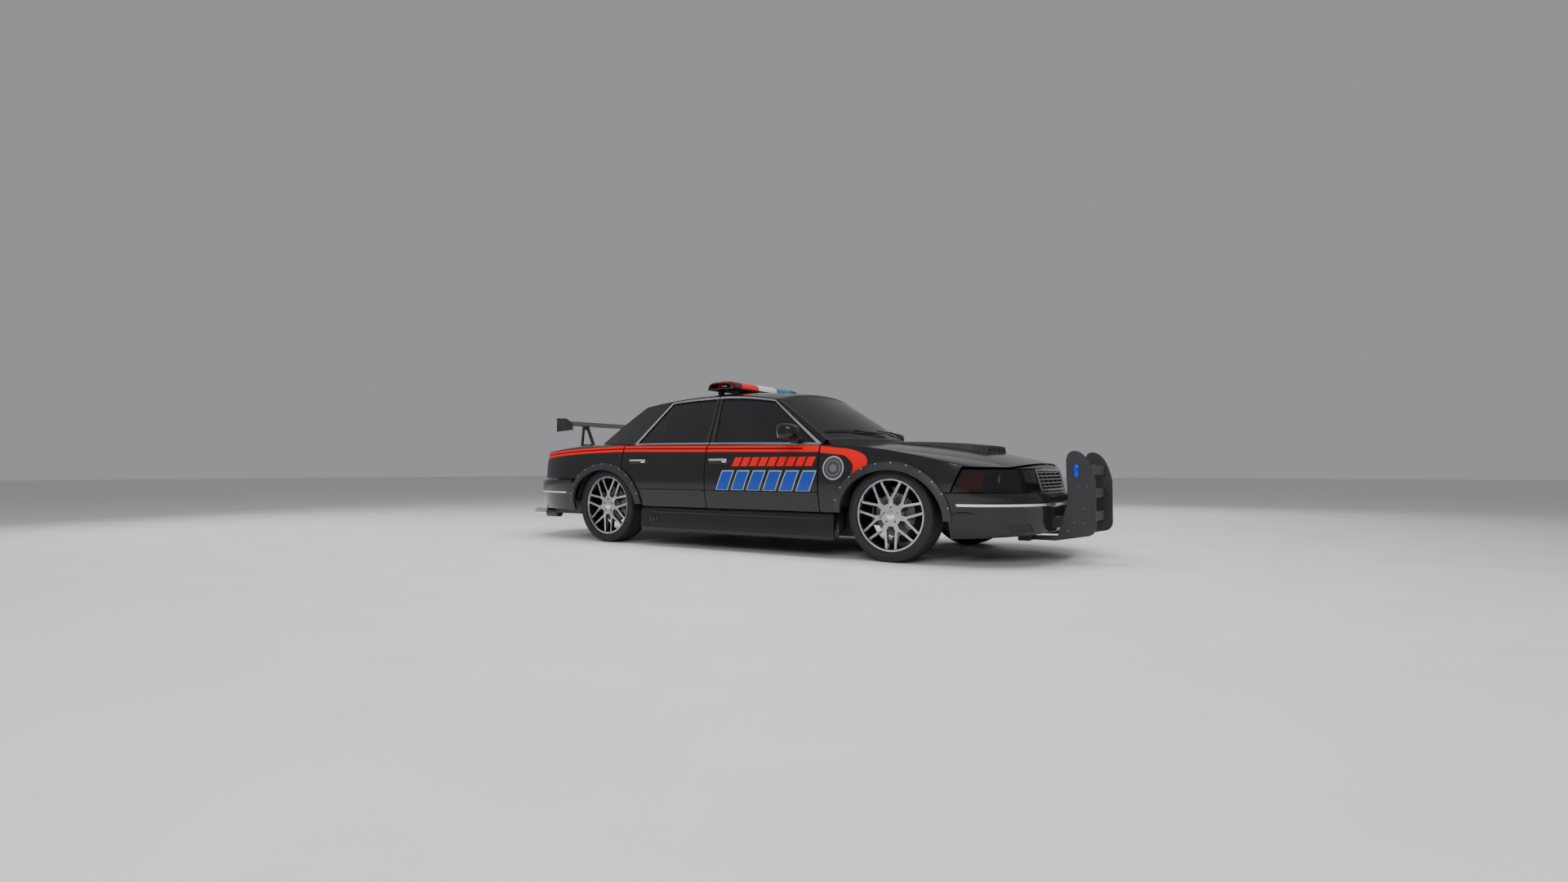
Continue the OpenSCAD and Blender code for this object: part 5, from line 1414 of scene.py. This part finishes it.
class SEDAN_OT_wheels(bpy.types.Operator):
    """Alloy wheels with caps, and tyres with tread and ringed side walls."""

    bl_idname = "sedan.wheels"
    bl_label = "Wheels and tyres"

    def execute(self, context):
        for end, ahead in (("front", 1), ("rear", -1)):
            for side, sign in SIDES.items():
                body = f"{end}_{side}_wheel"
                place = np.array([ahead * AXLE_X, -sign * WHEEL_Y, WHEEL_Z])
                turn = np.array([[1, 0, 0], [0, 0, -sign], [0, sign, 0]])
                rim = refined(f"wheel_{end}_{side}", "alloy", body, 2.5, 40)
                self.paint_shade_in_barrel(rim, place * MM, -sign)
                make(f"tread_{end}_{side}", moved(self.tyre(), place, turn), "tyre", body,
                     [f"tyre_{end}_{side}"], 50)
                make(f"cap_{end}_{side}", moved(self.cap(), place, turn), "chrome", body)
        return {"FINISHED"}

    def tyre(self):
        """Revolved tyre: ring lines on the wall, three grooves round the tread, slanted cross grooves."""
        trim = bpy.context.scene.sedan_trim
        deep = trim.tread_depth / MM
        h = TYRE_W / 2
        side = [(RIM_R + 0.4, 100), (RIM_R + 6, h - 9), (RIM_R + 18, h - 2), (RIM_R + 33, h),
                (RIM_R + 42, h - 0.5), (RIM_R + 44, h - 2.5), (RIM_R + 46, h - 0.8), (TYRE_R - 22, h - 4),
                (TYRE_R - 13, h - 8), (TYRE_R - 7, h - 16), (TYRE_R - 2, h - 30)]
        tread = [(TYRE_R, z) for z in np.linspace(h - 42, 42 - h, 25)]
        profile = np.array(side + tread + [(r, -z) for r, z in side[::-1]])
        profile[-1] = (RIM_R + 0.4, -108)
        count = 4 * trim.groove_count
        points, faces = revolve(profile[::-1], count)
        rings = points.reshape(count, len(profile), 3)
        z = rings[..., 2]
        radius = np.linalg.norm(rings[..., :2], axis=-1)
        angle = np.arange(count)[:, None] / 4 + np.abs(z) / 60
        groove = np.minimum.reduce([np.abs(z - g) for g in (-42, 0, 42)]) < 5
        cross = (angle % 1 < 0.3) & (np.abs(z) > 12)
        sunk = (radius > TYRE_R - 8) * np.where(groove, deep, np.where(cross, 0.6 * deep, 0))
        scale = (radius - sunk) / radius
        rings = rings * np.stack([scale, scale, np.ones_like(scale)], -1)
        return rings.reshape(-1, 3), faces

    def paint_shade_in_barrel(self, rim, place, out):
        """Paints shade into the wheel's recess: the deep faces of the rim and those turned to its axis get a
        much darker metal, and the disc behind the spokes its own darker finish.
        """
        mesh = rim.data
        count = len(mesh.polygons)
        middle, facing = np.empty(3 * count), np.empty(3 * count)
        mesh.polygons.foreach_get("center", middle)
        mesh.polygons.foreach_get("normal", facing)
        away = middle.reshape(-1, 3) - place
        depth = away[:, 1] * out
        radius = np.hypot(away[:, 0], away[:, 2])
        inward = (facing.reshape(-1, 3) * away)[:, [0, 2]].sum(1) < -0.3 * radius
        # Deep faces and faces turned to the axis, where shade falls inside the wheel, get the darker metal:
        # painted shade
        barrel = (depth < 0.062) & (radius > 0.2) | inward & (radius > 0.235) & (depth < 0.09)
        disc = (depth < 0.03) & (radius <= 0.2)
        mesh.materials.append(material("barrel"))
        mesh.materials.append(material("disc"))
        finish = np.where(disc, 2, np.where(barrel, 1, 0)).astype(np.int32)
        mesh.polygons.foreach_set("material_index", finish)

    def cap(self):
        """Plain hub cap: a low dome with a groove round it."""
        lat = np.linspace(0, 1, 9)
        profile = [(2, 96), *[(34 * t, 96 - 4 * t * t) for t in lat[2:]], (36, 88), (36, 86), (2, 86)]
        return revolve(np.array(profile)[::-1], 40)


class SEDAN_OT_equipment(bpy.types.Operator):
    """Light bar with coloured domes, push bar with bolts and lamps."""

    bl_idname = "sedan.equipment"
    bl_label = "Light bar and push bar"

    # Foot of the domes, and the bolts of a plate: distance from its front edge and height
    BASE_Z = BAR_Z + 14
    BOLTS = ((-150, 300), (-80, 300), (-150, 400), (-80, 400),
             (-120, 560), (-60, 560), (-130, 680), (-190, 240))

    def execute(self, context):
        refined("light_bar_base", "trim", bevel=3)
        spans = (("dark_red_dome", -BAR_HALF, -412), ("red_dome", -410, -152), ("white_dome", -150, 150),
                 ("blue_dome", 152, 410), ("dark_blue_dome", 412, BAR_HALF))
        domes = [make(name, self.dome(low, high), name) for name, low, high in spans]
        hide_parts("light_bar_lenses")
        make("beacon_rotors", self.rotors(), "steel")
        refined("push_bar", "push", bevel=2)
        make("push_bar_bolts", self.bolts(), "disc")
        make("push_bar_strobes", self.strobes(-9), "strobe")
        make("push_bar_lamps", self.strobes(9), "red_dome")
        return {"FINISHED"}

    def dome(self, low, high):
        """Lens dome: the bar's section carried across, with rounded ends where it closes the bar."""
        half = [(150, 0), (146, 30), (128, 49), (110, 58), (75, 62), (40, 64)]
        x, rise = np.array([(-a, b) for a, b in half] + [(0, 64.3)] + half[::-1]).T
        y = np.linspace(low, high, 40)[:, None]
        end = np.clip((BAR_HALF - np.abs(y)) / 60, 0, 1)
        shrink = 1 - 0.3 * (1 - end) ** 3
        x, rise = x * mix(1, shrink, 0.5), rise * shrink
        outer = stack(BAR_X + x, y, self.BASE_Z + rise)
        inner = stack(BAR_X + x * 0.96, y, self.BASE_Z + rise * 0.93)
        return panel(outer[:, ::-1], inner[:, ::-1], 1.5)

    def rotors(self):
        """Reflectors that stand under the domes."""
        parts = []
        for y in (-470, -330, -220, -70, 70, 220, 330, 470):
            low = (BAR_X - 46, y - 42, self.BASE_Z)
            parts.append(rounded_box(low, (BAR_X + 46, y + 42, self.BASE_Z + 48), 2.6, 14))
        return joined(parts)

    def bolts(self):
        """Round bolt heads on the outer faces of both plates."""
        dome = rounded_box((-7, -3, -7), (7, 3, 7), 2.4, 9)
        parts = []
        for y in (-PUSH_HALF - 7, PUSH_HALF + 7):
            for x, z in self.BOLTS:
                parts.append(moved(dome, (PUSH_FRONT_X + x, y, z)))
        return joined(parts)

    def strobes(self, inward):
        """Oval lamps in the upper part of both plates, on the outer faces or on the inner ones."""
        parts = []
        for side in (-1, 1):
            y = side * (PUSH_HALF - inward)
            low = 640 if inward > 0 else 620
            corner = (PUSH_FRONT_X - 150, y - 8, low)
            parts.append(rounded_box(corner, (PUSH_FRONT_X - 110, y + 8, 716), 2.6, 14))
        return joined(parts)


class SEDAN_OT_graphics(bpy.types.Operator):
    """Band under the belt with its hook, slanted bars and a plain roundel, as thin films on the panels."""

    bl_idname = "sedan.graphics"
    bl_label = "Band and bars"

    # The panels that the band runs over: body, rear x and front x
    RUNS = (("chassis", -2278, -1199), ("rear", -1187, -222), ("front", -210, 890))
    # Shares along the hook, and its corners there: upper x, upper z, lower x and lower z
    HOOK_SHARES = (0, 0.45, 0.62, 0.72, 0.8, 0.9, 1)
    HOOK = ((903, 1170, 1262, 1319, 1318, 1235, 1141), (861, 832, 803, 764, 698, 640, 577),
            (903, 1120, 1156, 1190, 1206, 1180, 1138), (808, 786, 760, 730, 690, 640, 575))
    # Rows of bars: name, finish, rear x, front x, foot, head, count and inset
    BARS = (("bars_edge", "bar_edge", -96, 850, 505, 672, 6, 0), ("bars", "bars", -96, 850, 505, 672, 6, 9),
            ("red_bars", "band", 70, 860, 705, 778, 9, 0))
    # Rings of the plain roundel: finish, inner radius, outer radius and height over the panel
    RINGS = (("roundel", 1, 92, 0.4), ("roundel_ring", 80, 91, 0.8), ("roundel_line", 56, 60, 0.8),
             ("roundel_spot", 1, 30, 0.8))

    def execute(self, context):
        high = context.scene.sedan_trim.band_height / MM
        for side in SIDES:
            for place, x0, x1 in self.RUNS:
                body = place if place == "chassis" else f"{place}_{side}_door"
                band = self.film((x0, x1, 80), high + 3, 3, 0.5)
                make(f"band_{place}_{side}", on_side(band, side), "band", body)
                line = self.film((x0, min(x1, 741), 80), 0.62 * high, 0.44 * high, 0.9)
                make(f"band_line_{place}_{side}", on_side(line, side), "band_line", body)
            make(f"hook_{side}", on_side(self.hook(), side), "band", "chassis")
            body = f"front_{side}_door"
            for name, finish, *sizes in self.BARS:
                make(f"{name}_{side}", on_side(self.bars(*sizes), side), finish, body)
            for name, near, far, proud in self.RINGS:
                make(f"{name}_{side}", on_side(self.ring(near, far, proud), side), name, "chassis")
        return {"FINISHED"}

    def film(self, x, low, high, proud):
        """Film on the body side between two distances under the belt line."""
        t, u = grid((0, 1, 5), x)
        z = mix(belt_z(u) - low, belt_z(u) - high, t)
        outer = stack(u, -side_h(u, z) - proud, z)
        return shell(outer, outer + [0, proud + 0.6, 0])

    def hook(self):
        """The band's front end: it runs on past the door, swings down over the fender and ends in a point."""
        t, u = grid((0, 1, 9), (0, 1, 70))
        kernel = np.ones(9) / 9

        def eased(corners):
            row = np.pad(np.interp(u[0], self.HOOK_SHARES, corners), 4, mode="reflect", reflect_type="odd")
            return np.convolve(row, kernel, mode="valid")

        upper_x, upper_z, lower_x, lower_z = (eased(corners) for corners in self.HOOK)
        x = mix(lower_x, upper_x, t)
        z = np.minimum(mix(lower_z, upper_z, t), belt_z(x) - 3)
        outer = stack(x, -side_h(x, z) - 0.5, z)
        return shell(outer, outer + [0, 1.1, 0])

    def bars(self, x0, x1, low, high, count, inset):
        """A row of plain slanted bars on the front door, each leaning forward."""
        pitch = (x1 - x0) / count
        parts = []
        for i in range(count):
            t, u = grid((0, 1, 7), (0, 1, 7))
            z = mix(low + inset, high - inset, t)
            lean = 0.42 * (z - low)
            x = x0 + pitch * i + inset + lean + u * (0.8 * pitch - 2 * inset)
            outer = stack(np.minimum(x, 886), 0 * x, z)
            outer[..., 1] = -side_h(outer[..., 0], z) - (0.4 if inset == 0 else 0.8)
            parts.append(shell(outer, outer + [0, 1.0, 0]))
        return joined(parts)

    def ring(self, near, far, proud):
        """Ring between two radii on the fender, behind the wheel arch."""
        r, a = grid((far, near, 16), np.arange(73) * 2 * pi / 72)
        x = 1030 + r * np.cos(a)
        z = 690 + r * np.sin(a)
        outer = stack(x, -side_h(x, z) - proud, z)
        return shell(outer, outer + [0, proud + 0.6, 0])


class SEDAN_OT_engine_bay(bpy.types.Operator):
    """Engine with its covers and intake, radiator with its fan, battery, tanks and the four wheel houses."""

    bl_idname = "sedan.engine_bay"
    bl_label = "Engine bay"

    # Middle of the engine, lean of its two banks and the bank's distance to each side
    ENGINE_X, BANK_Z, BANK_Y, LEAN = 1440, 545, 170, 42

    def execute(self, context):
        covers = [self.bank((-265, -62, 47), (265, 62, 123), 5)]
        covers += [self.bank((x - 7, -56, 100), (x + 7, 56, 131), 4) for x in np.linspace(-220, 220, 8)]
        heads = self.bank((-270, -70, -60), (270, 70, 60), 9)
        sump = rounded_box((1150, -170, 341), (1730, 170, 520), 9, 22)
        casting = joined([sump, both(heads)])
        make("engine_casting", casting, "iron", replaces=["engine_block"])
        make("engine_covers", both(*covers), "grille")
        make("engine_intake", self.intake(), "steel")
        make("engine_pulleys", self.pulleys(), "disc")
        make("radiator_core", rounded_box((1880, -345, 345), (1922, 345, 668), 14, 24), "barrel")
        make("radiator_frame", self.radiator_frame(), "trim")
        make("radiator_fan", self.fan(), "tyre")
        make("bay_hoses", self.hoses(), "tyre")
        make("bay_boxes", self.boxes(), "trim")
        make("coolant_tank", self.tank(), "roundel_ring")
        make("wheel_houses", self.houses(), "under")
        return {"FINISHED"}

    def bank(self, low, high, power):
        """A block given in one bank's own axes, leaned over and put on the right side."""
        place = (self.ENGINE_X, -self.BANK_Y, self.BANK_Z)
        return moved(rounded_box(low, high, power, 16), place, tilt(radians(self.LEAN)))

    def intake(self):
        """Ribbed plenum with four runners to each bank and the throttle's neck."""
        parts = [rounded_box((1200, -88, 640), (1620, 88, 738), 4.5, 24)]
        parts += [rounded_box((x - 8, -70, 726), (x + 8, 70, 746), 4, 12) for x in np.linspace(1250, 1570, 7)]
        turn = np.linspace(0, 1, 12)
        for x in np.linspace(1235, 1585, 4):
            path = stack(x + 0 * turn, -70 - 95 * turn, 690 + 20 * np.sin(pi * turn) - 85 * turn**2)
            parts += [tube(path, 24, 14), mirrored(tube(path, 24, 14))]
        parts.append(tube([(x, 0, 688) for x in np.linspace(1600, 1735, 8)], 44, 28))
        return joined(parts)

    def pulleys(self):
        """Turned pulleys on the engine's front face: radius, place across and height of each."""
        parts = []
        for radius, y, z in ((84, 0, 425), (62, 0, 560), (40, -140, 600), (46, 150, 590), (34, 105, 480)):
            groove = radius - 6
            rim = [(8, 0), (groove, 0), (radius, 3), (groove, 9), (radius, 15), (radius - 8, 18), (8, 10)]
            parts.append(facing_ahead(revolve(rim, 48), [1742, y, z]))
        return joined(parts)

    def radiator_frame(self):
        """Top tank, bridge between the aprons and the posts that stand on the rails."""
        post = rounded_box((1874, -402, 341), (1928, -346, 704), 8, 16)
        return joined([rounded_box((1872, -362, 660), (1930, 362, 706), 5, 20),
                       rounded_box((1866, -504, 690), (1936, 504, 720), 9, 24), post, mirrored(post)])

    def fan(self):
        """Shroud ring with a hub and seven slanted blades."""
        ring = revolve([(198, 0), (214, 0), (214, 30), (198, 30)], 64)
        hub = revolve([(1, 4), (58, 4), (58, 26), (1, 26)], 32)
        parts = [ring, hub]
        for k in range(7):
            a = 2 * pi * k / 7
            spin = [[np.cos(a), -np.sin(a), 0], [np.sin(a), np.cos(a), 0], [0, 0, 1]]
            blade = moved(rounded_box((50, -34, -3), (197, 34, 3), 5, 12), (0, 0, 15), tilt(radians(28)))
            parts.append(moved(blade, turn=spin))
        return facing_ahead(joined(parts), [1846, 0, 505])

    def hoses(self):
        """Air duct from the throttle to its box and the two radiator hoses, each a smooth bend."""
        t = np.linspace(0, 1, 24)
        duct = stack(1735 + 62 * np.sin(pi * t), 390 * t, 688 - 70 * t**2)
        upper = stack(1700 + 176 * t, -110 - 120 * t**2, 625 + 40 * np.sin(pi * t) + 50 * t)
        lower = stack(1735 + 142 * t, 150 + 130 * t, 400 - 35 * np.sin(pi * t))
        return joined([tube(duct, 40, 24), tube(upper, 21, 16), tube(lower, 21, 16)])

    def boxes(self):
        """Battery with its two posts, and the air box, all on the frame rails."""
        posts = [tube([(x, -400, z) for z in np.linspace(555, 580, 5)], 9, 14) for x in (1000, 1075)]
        lid = rounded_box((1552, 322, 560), (1848, 498, 590), 6, 18)
        return joined([rounded_box((965, -492, 341), (1110, -352, 560), 11, 20),
                       rounded_box((1560, 330, 341), (1840, 492, 640), 6, 22), lid] + posts)

    def tank(self):
        """Coolant tank with its cap, on the right rail."""
        cap = tube([(1680, -412, z) for z in np.linspace(590, 622, 5)], 26, 24)
        return joined([rounded_box((1590, -482, 341), (1770, -345, 596), 4.4, 22), cap])

    def houses(self):
        """Wheel houses, each half an elliptic tube out to the body's skin, and the firewall's end plates."""
        parts = []
        for middle, inner_y in ((ARCH_FRONT_X, 517), (ARCH_REAR_X, 632)):
            a, y = grid((0.14, pi - 0.14, 61), (-inner_y, -915, 9))
            skin = stack(middle + (ARCH_A + 6) * np.cos(a), y, 345 + (ARCH_B + 12) * np.sin(a))
            house = panel(skin + stack(4 * np.cos(a), 0 * a, 4 * np.sin(a)), skin, 1)
            parts += [house, mirrored(house)]
        plate = rounded_box((931, -872, 352), (944, -760, 812), 12, 14)
        return joined(parts + [plate, mirrored(plate)])


class SEDAN_OT_cabin(bpy.types.Operator):
    """Seats, dashboard, steering wheel and everything under the body."""

    bl_idname = "sedan.cabin"
    bl_label = "Cabin and underbody"

    # Voxel of the pads' remesh and the farthest that a point of a pad may swell, in millimetres
    VOXEL, CAP = 13, 10
    # CAD nodes that keep their own shape: finish and bevel
    KEPT = {
        "dashboard": ("cabin", 6), "steering_wheel": ("cabin", 0), "frame_rails": ("under", 3),
        "floor_pan": ("under", 0), "front_suspension": ("iron", 2), "rear_axle": ("iron", 0),
        "exhaust": ("iron", 2),
    }

    def execute(self, context):
        for node, (finish, bevel) in self.KEPT.items():
            refined(node, finish, bevel=bevel)
        for side in SIDES:
            refined(f"knuckle_{side}", "iron", f"{side}_knuckle", 2)
        tip = [(37.5, 0), (37.5, 168), (39, 172), (43, 172), (44.2, 168), (44.2, 4), (43, 0)]
        points, faces = facing_ahead(revolve(tip, 64), 0)
        right = (points * [-1, 1, 1] + [-2481, -720, 240], [list(f)[::-1] for f in faces])
        make("exhaust_tips", both(right), "chrome")
        make("dash_fittings", self.dash(), "gloss_trim")
        self.seats()
        return {"FINISHED"}

    def dash(self):
        """Hood over the gauges, middle stack, glove box and four air vents, set on the dashboard."""
        parts = [rounded_box((655, 230, 790), (850, 530, 868), 4.5, 20),
                 rounded_box((628, -120, 560), (700, 120, 800), 7, 20),
                 rounded_box((636, -560, 610), (672, -190, 720), 7, 18)]
        parts += [rounded_box((650, y - 62, 742), (690, y + 62, 786), 5, 14) for y in (-640, -260, 190, 650)]
        return joined(parts)

    def seats(self):
        """Crowned cushions and back pads of the two front seats and the rear bench."""
        forms = []
        for y in (-380, 380):
            forms.append(("seat", (-150, y - 245, 300), (350, y + 245, 478), 0))
            forms.append(("back", (-135, y - 240, 470), (-15, y + 240, 1040), -14))
            forms.append(("rest", (-120, y - 125, 1060), (-40, y + 125, 1195), -14))
        forms.append(("bench", (-890, -590, 300), (-480, 590, 446), 0))
        forms.append(("bench_back", (-790, -590, 440), (-690, 590, 880), -18))
        for i, (name, low, high, lean) in enumerate(forms):
            points, faces = rounded_box(low, high, 4.6, 40)
            foot = 470 if name == "rest" else low[2]
            points = points + stack(np.tan(radians(lean)) * (points[:, 2] - foot), 0, 0)
            pad = self.blown(points, faces)
            obj = make(f"{name}_pad_{i}", self.sewn(pad, low, high, name), "cloth",
                       replaces=() if i else ["seats"])
            smooth = obj.modifiers.new("smooth", "SUBSURF")
            smooth.levels = smooth.render_levels = 1

    def sewn(self, pad, low, high, name):
        """Presses the sewn channels into a pad: narrow furrows along it where the cover is stitched down."""
        points, faces = np.array(pad[0], float), pad[1]
        count = 9 if name.startswith("bench") else 4
        share = (points[:, 1] - low[1]) / (high[1] - low[1]) * count
        furrow = np.exp(-(((share - np.round(share)) * (high[1] - low[1]) / count / 9) ** 2))
        furrow = furrow * ((share > 0.5) & (share < count - 0.5))
        middle = 0.5 * (points.min(0) + points.max(0))
        if name in ("seat", "bench"):
            points[:, 2] -= 9 * furrow * (points[:, 2] > middle[2])
        elif name != "rest":
            face = middle[0] + np.tan(radians(-14)) * (points[:, 2] - middle[2])
            points[:, 0] -= 8 * furrow * (points[:, 0] > face)
        return points, faces

    def blown(self, points, faces):
        """Pad blown up by cloth pressure from a slightly smaller shape, each point's move held to a cap."""
        scene = bpy.context.scene
        middle = 0.5 * (points.min(0) + points.max(0))
        size = points.max(0) - points.min(0)
        small = middle + (points - middle) * (1 - 2 * self.CAP / size)
        mesh = bpy.data.meshes.new("pad_form")
        mesh.from_pydata((small * MM).tolist(), [], [list(f) for f in faces])
        form = bpy.data.objects.new("pad_form", mesh)
        scene.collection.objects.link(form)
        remesh = form.modifiers.new("remesh", "REMESH")
        remesh.mode = "VOXEL"
        remesh.voxel_size = self.VOXEL * MM
        even = bpy.data.meshes.new_from_object(form.evaluated_get(bpy.context.evaluated_depsgraph_get()))
        form.modifiers.clear()
        form.data = even
        start = np.empty(3 * len(even.vertices))
        even.vertices.foreach_get("co", start)
        cloth = form.modifiers.new("cloth", "CLOTH")
        cloth.settings.use_pressure = True
        cloth.settings.uniform_pressure_force = 4
        cloth.settings.effector_weights.gravity = 0
        for frame_number in range(1, 21):
            scene.frame_set(frame_number)
        swollen = form.evaluated_get(bpy.context.evaluated_depsgraph_get()).data
        end = np.empty_like(start)
        swollen.vertices.foreach_get("co", end)
        start, move = start.reshape(-1, 3), (end - start).reshape(-1, 3)
        length = np.linalg.norm(move, axis=1, keepdims=True)
        result = start + move * np.minimum(1, self.CAP * MM / np.maximum(length, 1e-9))
        sides = [list(p.vertices) for p in even.polygons]
        bpy.data.objects.remove(form)
        scene.frame_set(1)
        return result / MM, sides


class SEDAN_OT_stage(bpy.types.Operator):
    """Pale floor, soft studio light and the camera at the photograph's view."""

    bl_idname = "sedan.stage"
    bl_label = "Stage"

    # Name, place, turn in degrees, width, depth, power and whether gloss mirrors the light
    LIGHTS = (
        ("overhead", (0.5, -1.0, 6.5), (0, 0, 0), 7.0, 5.0, 520, False),
        ("side_key", (4.5, -8.5, 4.2), (58, 0, 24), 6.0, 2.6, 320, True),
        ("rear_fill", (-7.5, -3.0, 3.8), (62, 0, -68), 5.0, 2.5, 180, False),
        ("far_fill", (1.0, 8.0, 4.5), (-60, 0, 0), 6.0, 2.5, 180, False),
    )

    # Camera fitted to the photograph: place in metres, turn in degrees, lens and sensor in millimetres
    CAMERA_PLACE, CAMERA_TURN = (3.892157, -6.017399, 0.681012), (92.107, 0, 33.290)
    LENS, SENSOR = 17.586, 36.0

    def execute(self, context):
        scene = context.scene
        x, y = grid((-60, 60, 3), (-60, 60, 3))
        points = stack(x, y, 0 * x).reshape(-1, 3)
        cells = np.array([[0, 3, 4, 1], [1, 4, 5, 2], [3, 6, 7, 4], [4, 7, 8, 5]])
        mesh = bpy.data.meshes.new("studio_floor")
        mesh.from_pydata(points.tolist(), [], cells.tolist())
        floor = bpy.data.objects.new("studio_floor", mesh)
        scene.collection.objects.link(floor)
        s = Shade("pale_floor")
        speck = s.noise(2.0, 5)
        mesh.materials.append(s.done(
            Base_Color=s.blend(s.spread(speck, 0, 1), (0.74, 0.74, 0.75, 1), (0.78, 0.78, 0.79, 1)),
            Roughness=s.spread(speck, 0.62, 0.72)))
        world = bpy.data.worlds.new("studio")
        world.use_nodes = True
        sky = world.node_tree.nodes["Background"].inputs
        sky["Color"].default_value = (0.78, 0.79, 0.81, 1)
        sky["Strength"].default_value = 0.4
        scene.world = world
        for name, place, turn, width, depth, power, mirrored_in_gloss in self.LIGHTS:
            lamp = bpy.data.lights.new(name, "AREA")
            lamp.shape = "RECTANGLE"
            lamp.size, lamp.size_y, lamp.energy = width, depth, power
            obj = bpy.data.objects.new(name, lamp)
            obj.location = place
            obj.rotation_euler = [radians(a) for a in turn]
            obj.visible_glossy = mirrored_in_gloss
            scene.collection.objects.link(obj)
        data = bpy.data.cameras.new("view")
        data.sensor_width = self.SENSOR
        data.lens = self.LENS
        camera = bpy.data.objects.new("view", data)
        camera.location = self.CAMERA_PLACE
        camera.rotation_euler = [radians(a) for a in self.CAMERA_TURN]
        scene.collection.objects.link(camera)
        scene.camera = camera
        return {"FINISHED"}


OPERATORS = (
    SEDAN_OT_panels, SEDAN_OT_doors, SEDAN_OT_hood_and_trunk, SEDAN_OT_glass, SEDAN_OT_ends, SEDAN_OT_flares,
    SEDAN_OT_wheels, SEDAN_OT_equipment, SEDAN_OT_graphics, SEDAN_OT_engine_bay, SEDAN_OT_cabin,
    SEDAN_OT_stage,
)


class SEDAN_PT_panel(bpy.types.Panel):
    """Lists the sedan's pieces and settings in the sidebar."""

    bl_idname = "SEDAN_PT_panel"
    bl_label = "Patrol sedan"
    bl_space_type = "VIEW_3D"
    bl_region_type = "UI"
    bl_category = "Sedan"

    def draw(self, context):
        for group in (context.scene.sedan_finish, context.scene.sedan_trim):
            for key in group.bl_rna.properties.keys():
                if key not in ("rna_type", "name"):
                    self.layout.prop(group, key)
        for operator in OPERATORS:
            self.layout.operator(operator.bl_idname)


CLASSES = (SedanFinish, SedanTrim, *OPERATORS, SEDAN_PT_panel)


def register():
    for cls in CLASSES:
        bpy.utils.register_class(cls)
    bpy.types.Scene.sedan_finish = bpy.props.PointerProperty(type=SedanFinish)
    bpy.types.Scene.sedan_trim = bpy.props.PointerProperty(type=SedanTrim)


def unregister():
    del bpy.types.Scene.sedan_trim
    del bpy.types.Scene.sedan_finish
    for cls in reversed(CLASSES):
        bpy.utils.unregister_class(cls)


def main():
    register()
    for operator in OPERATORS:
        group, name = operator.bl_idname.split(".")
        getattr(getattr(bpy.ops, group), name)()
    bpy.context.view_layer.update()


if __name__ == "__main__":
    main()
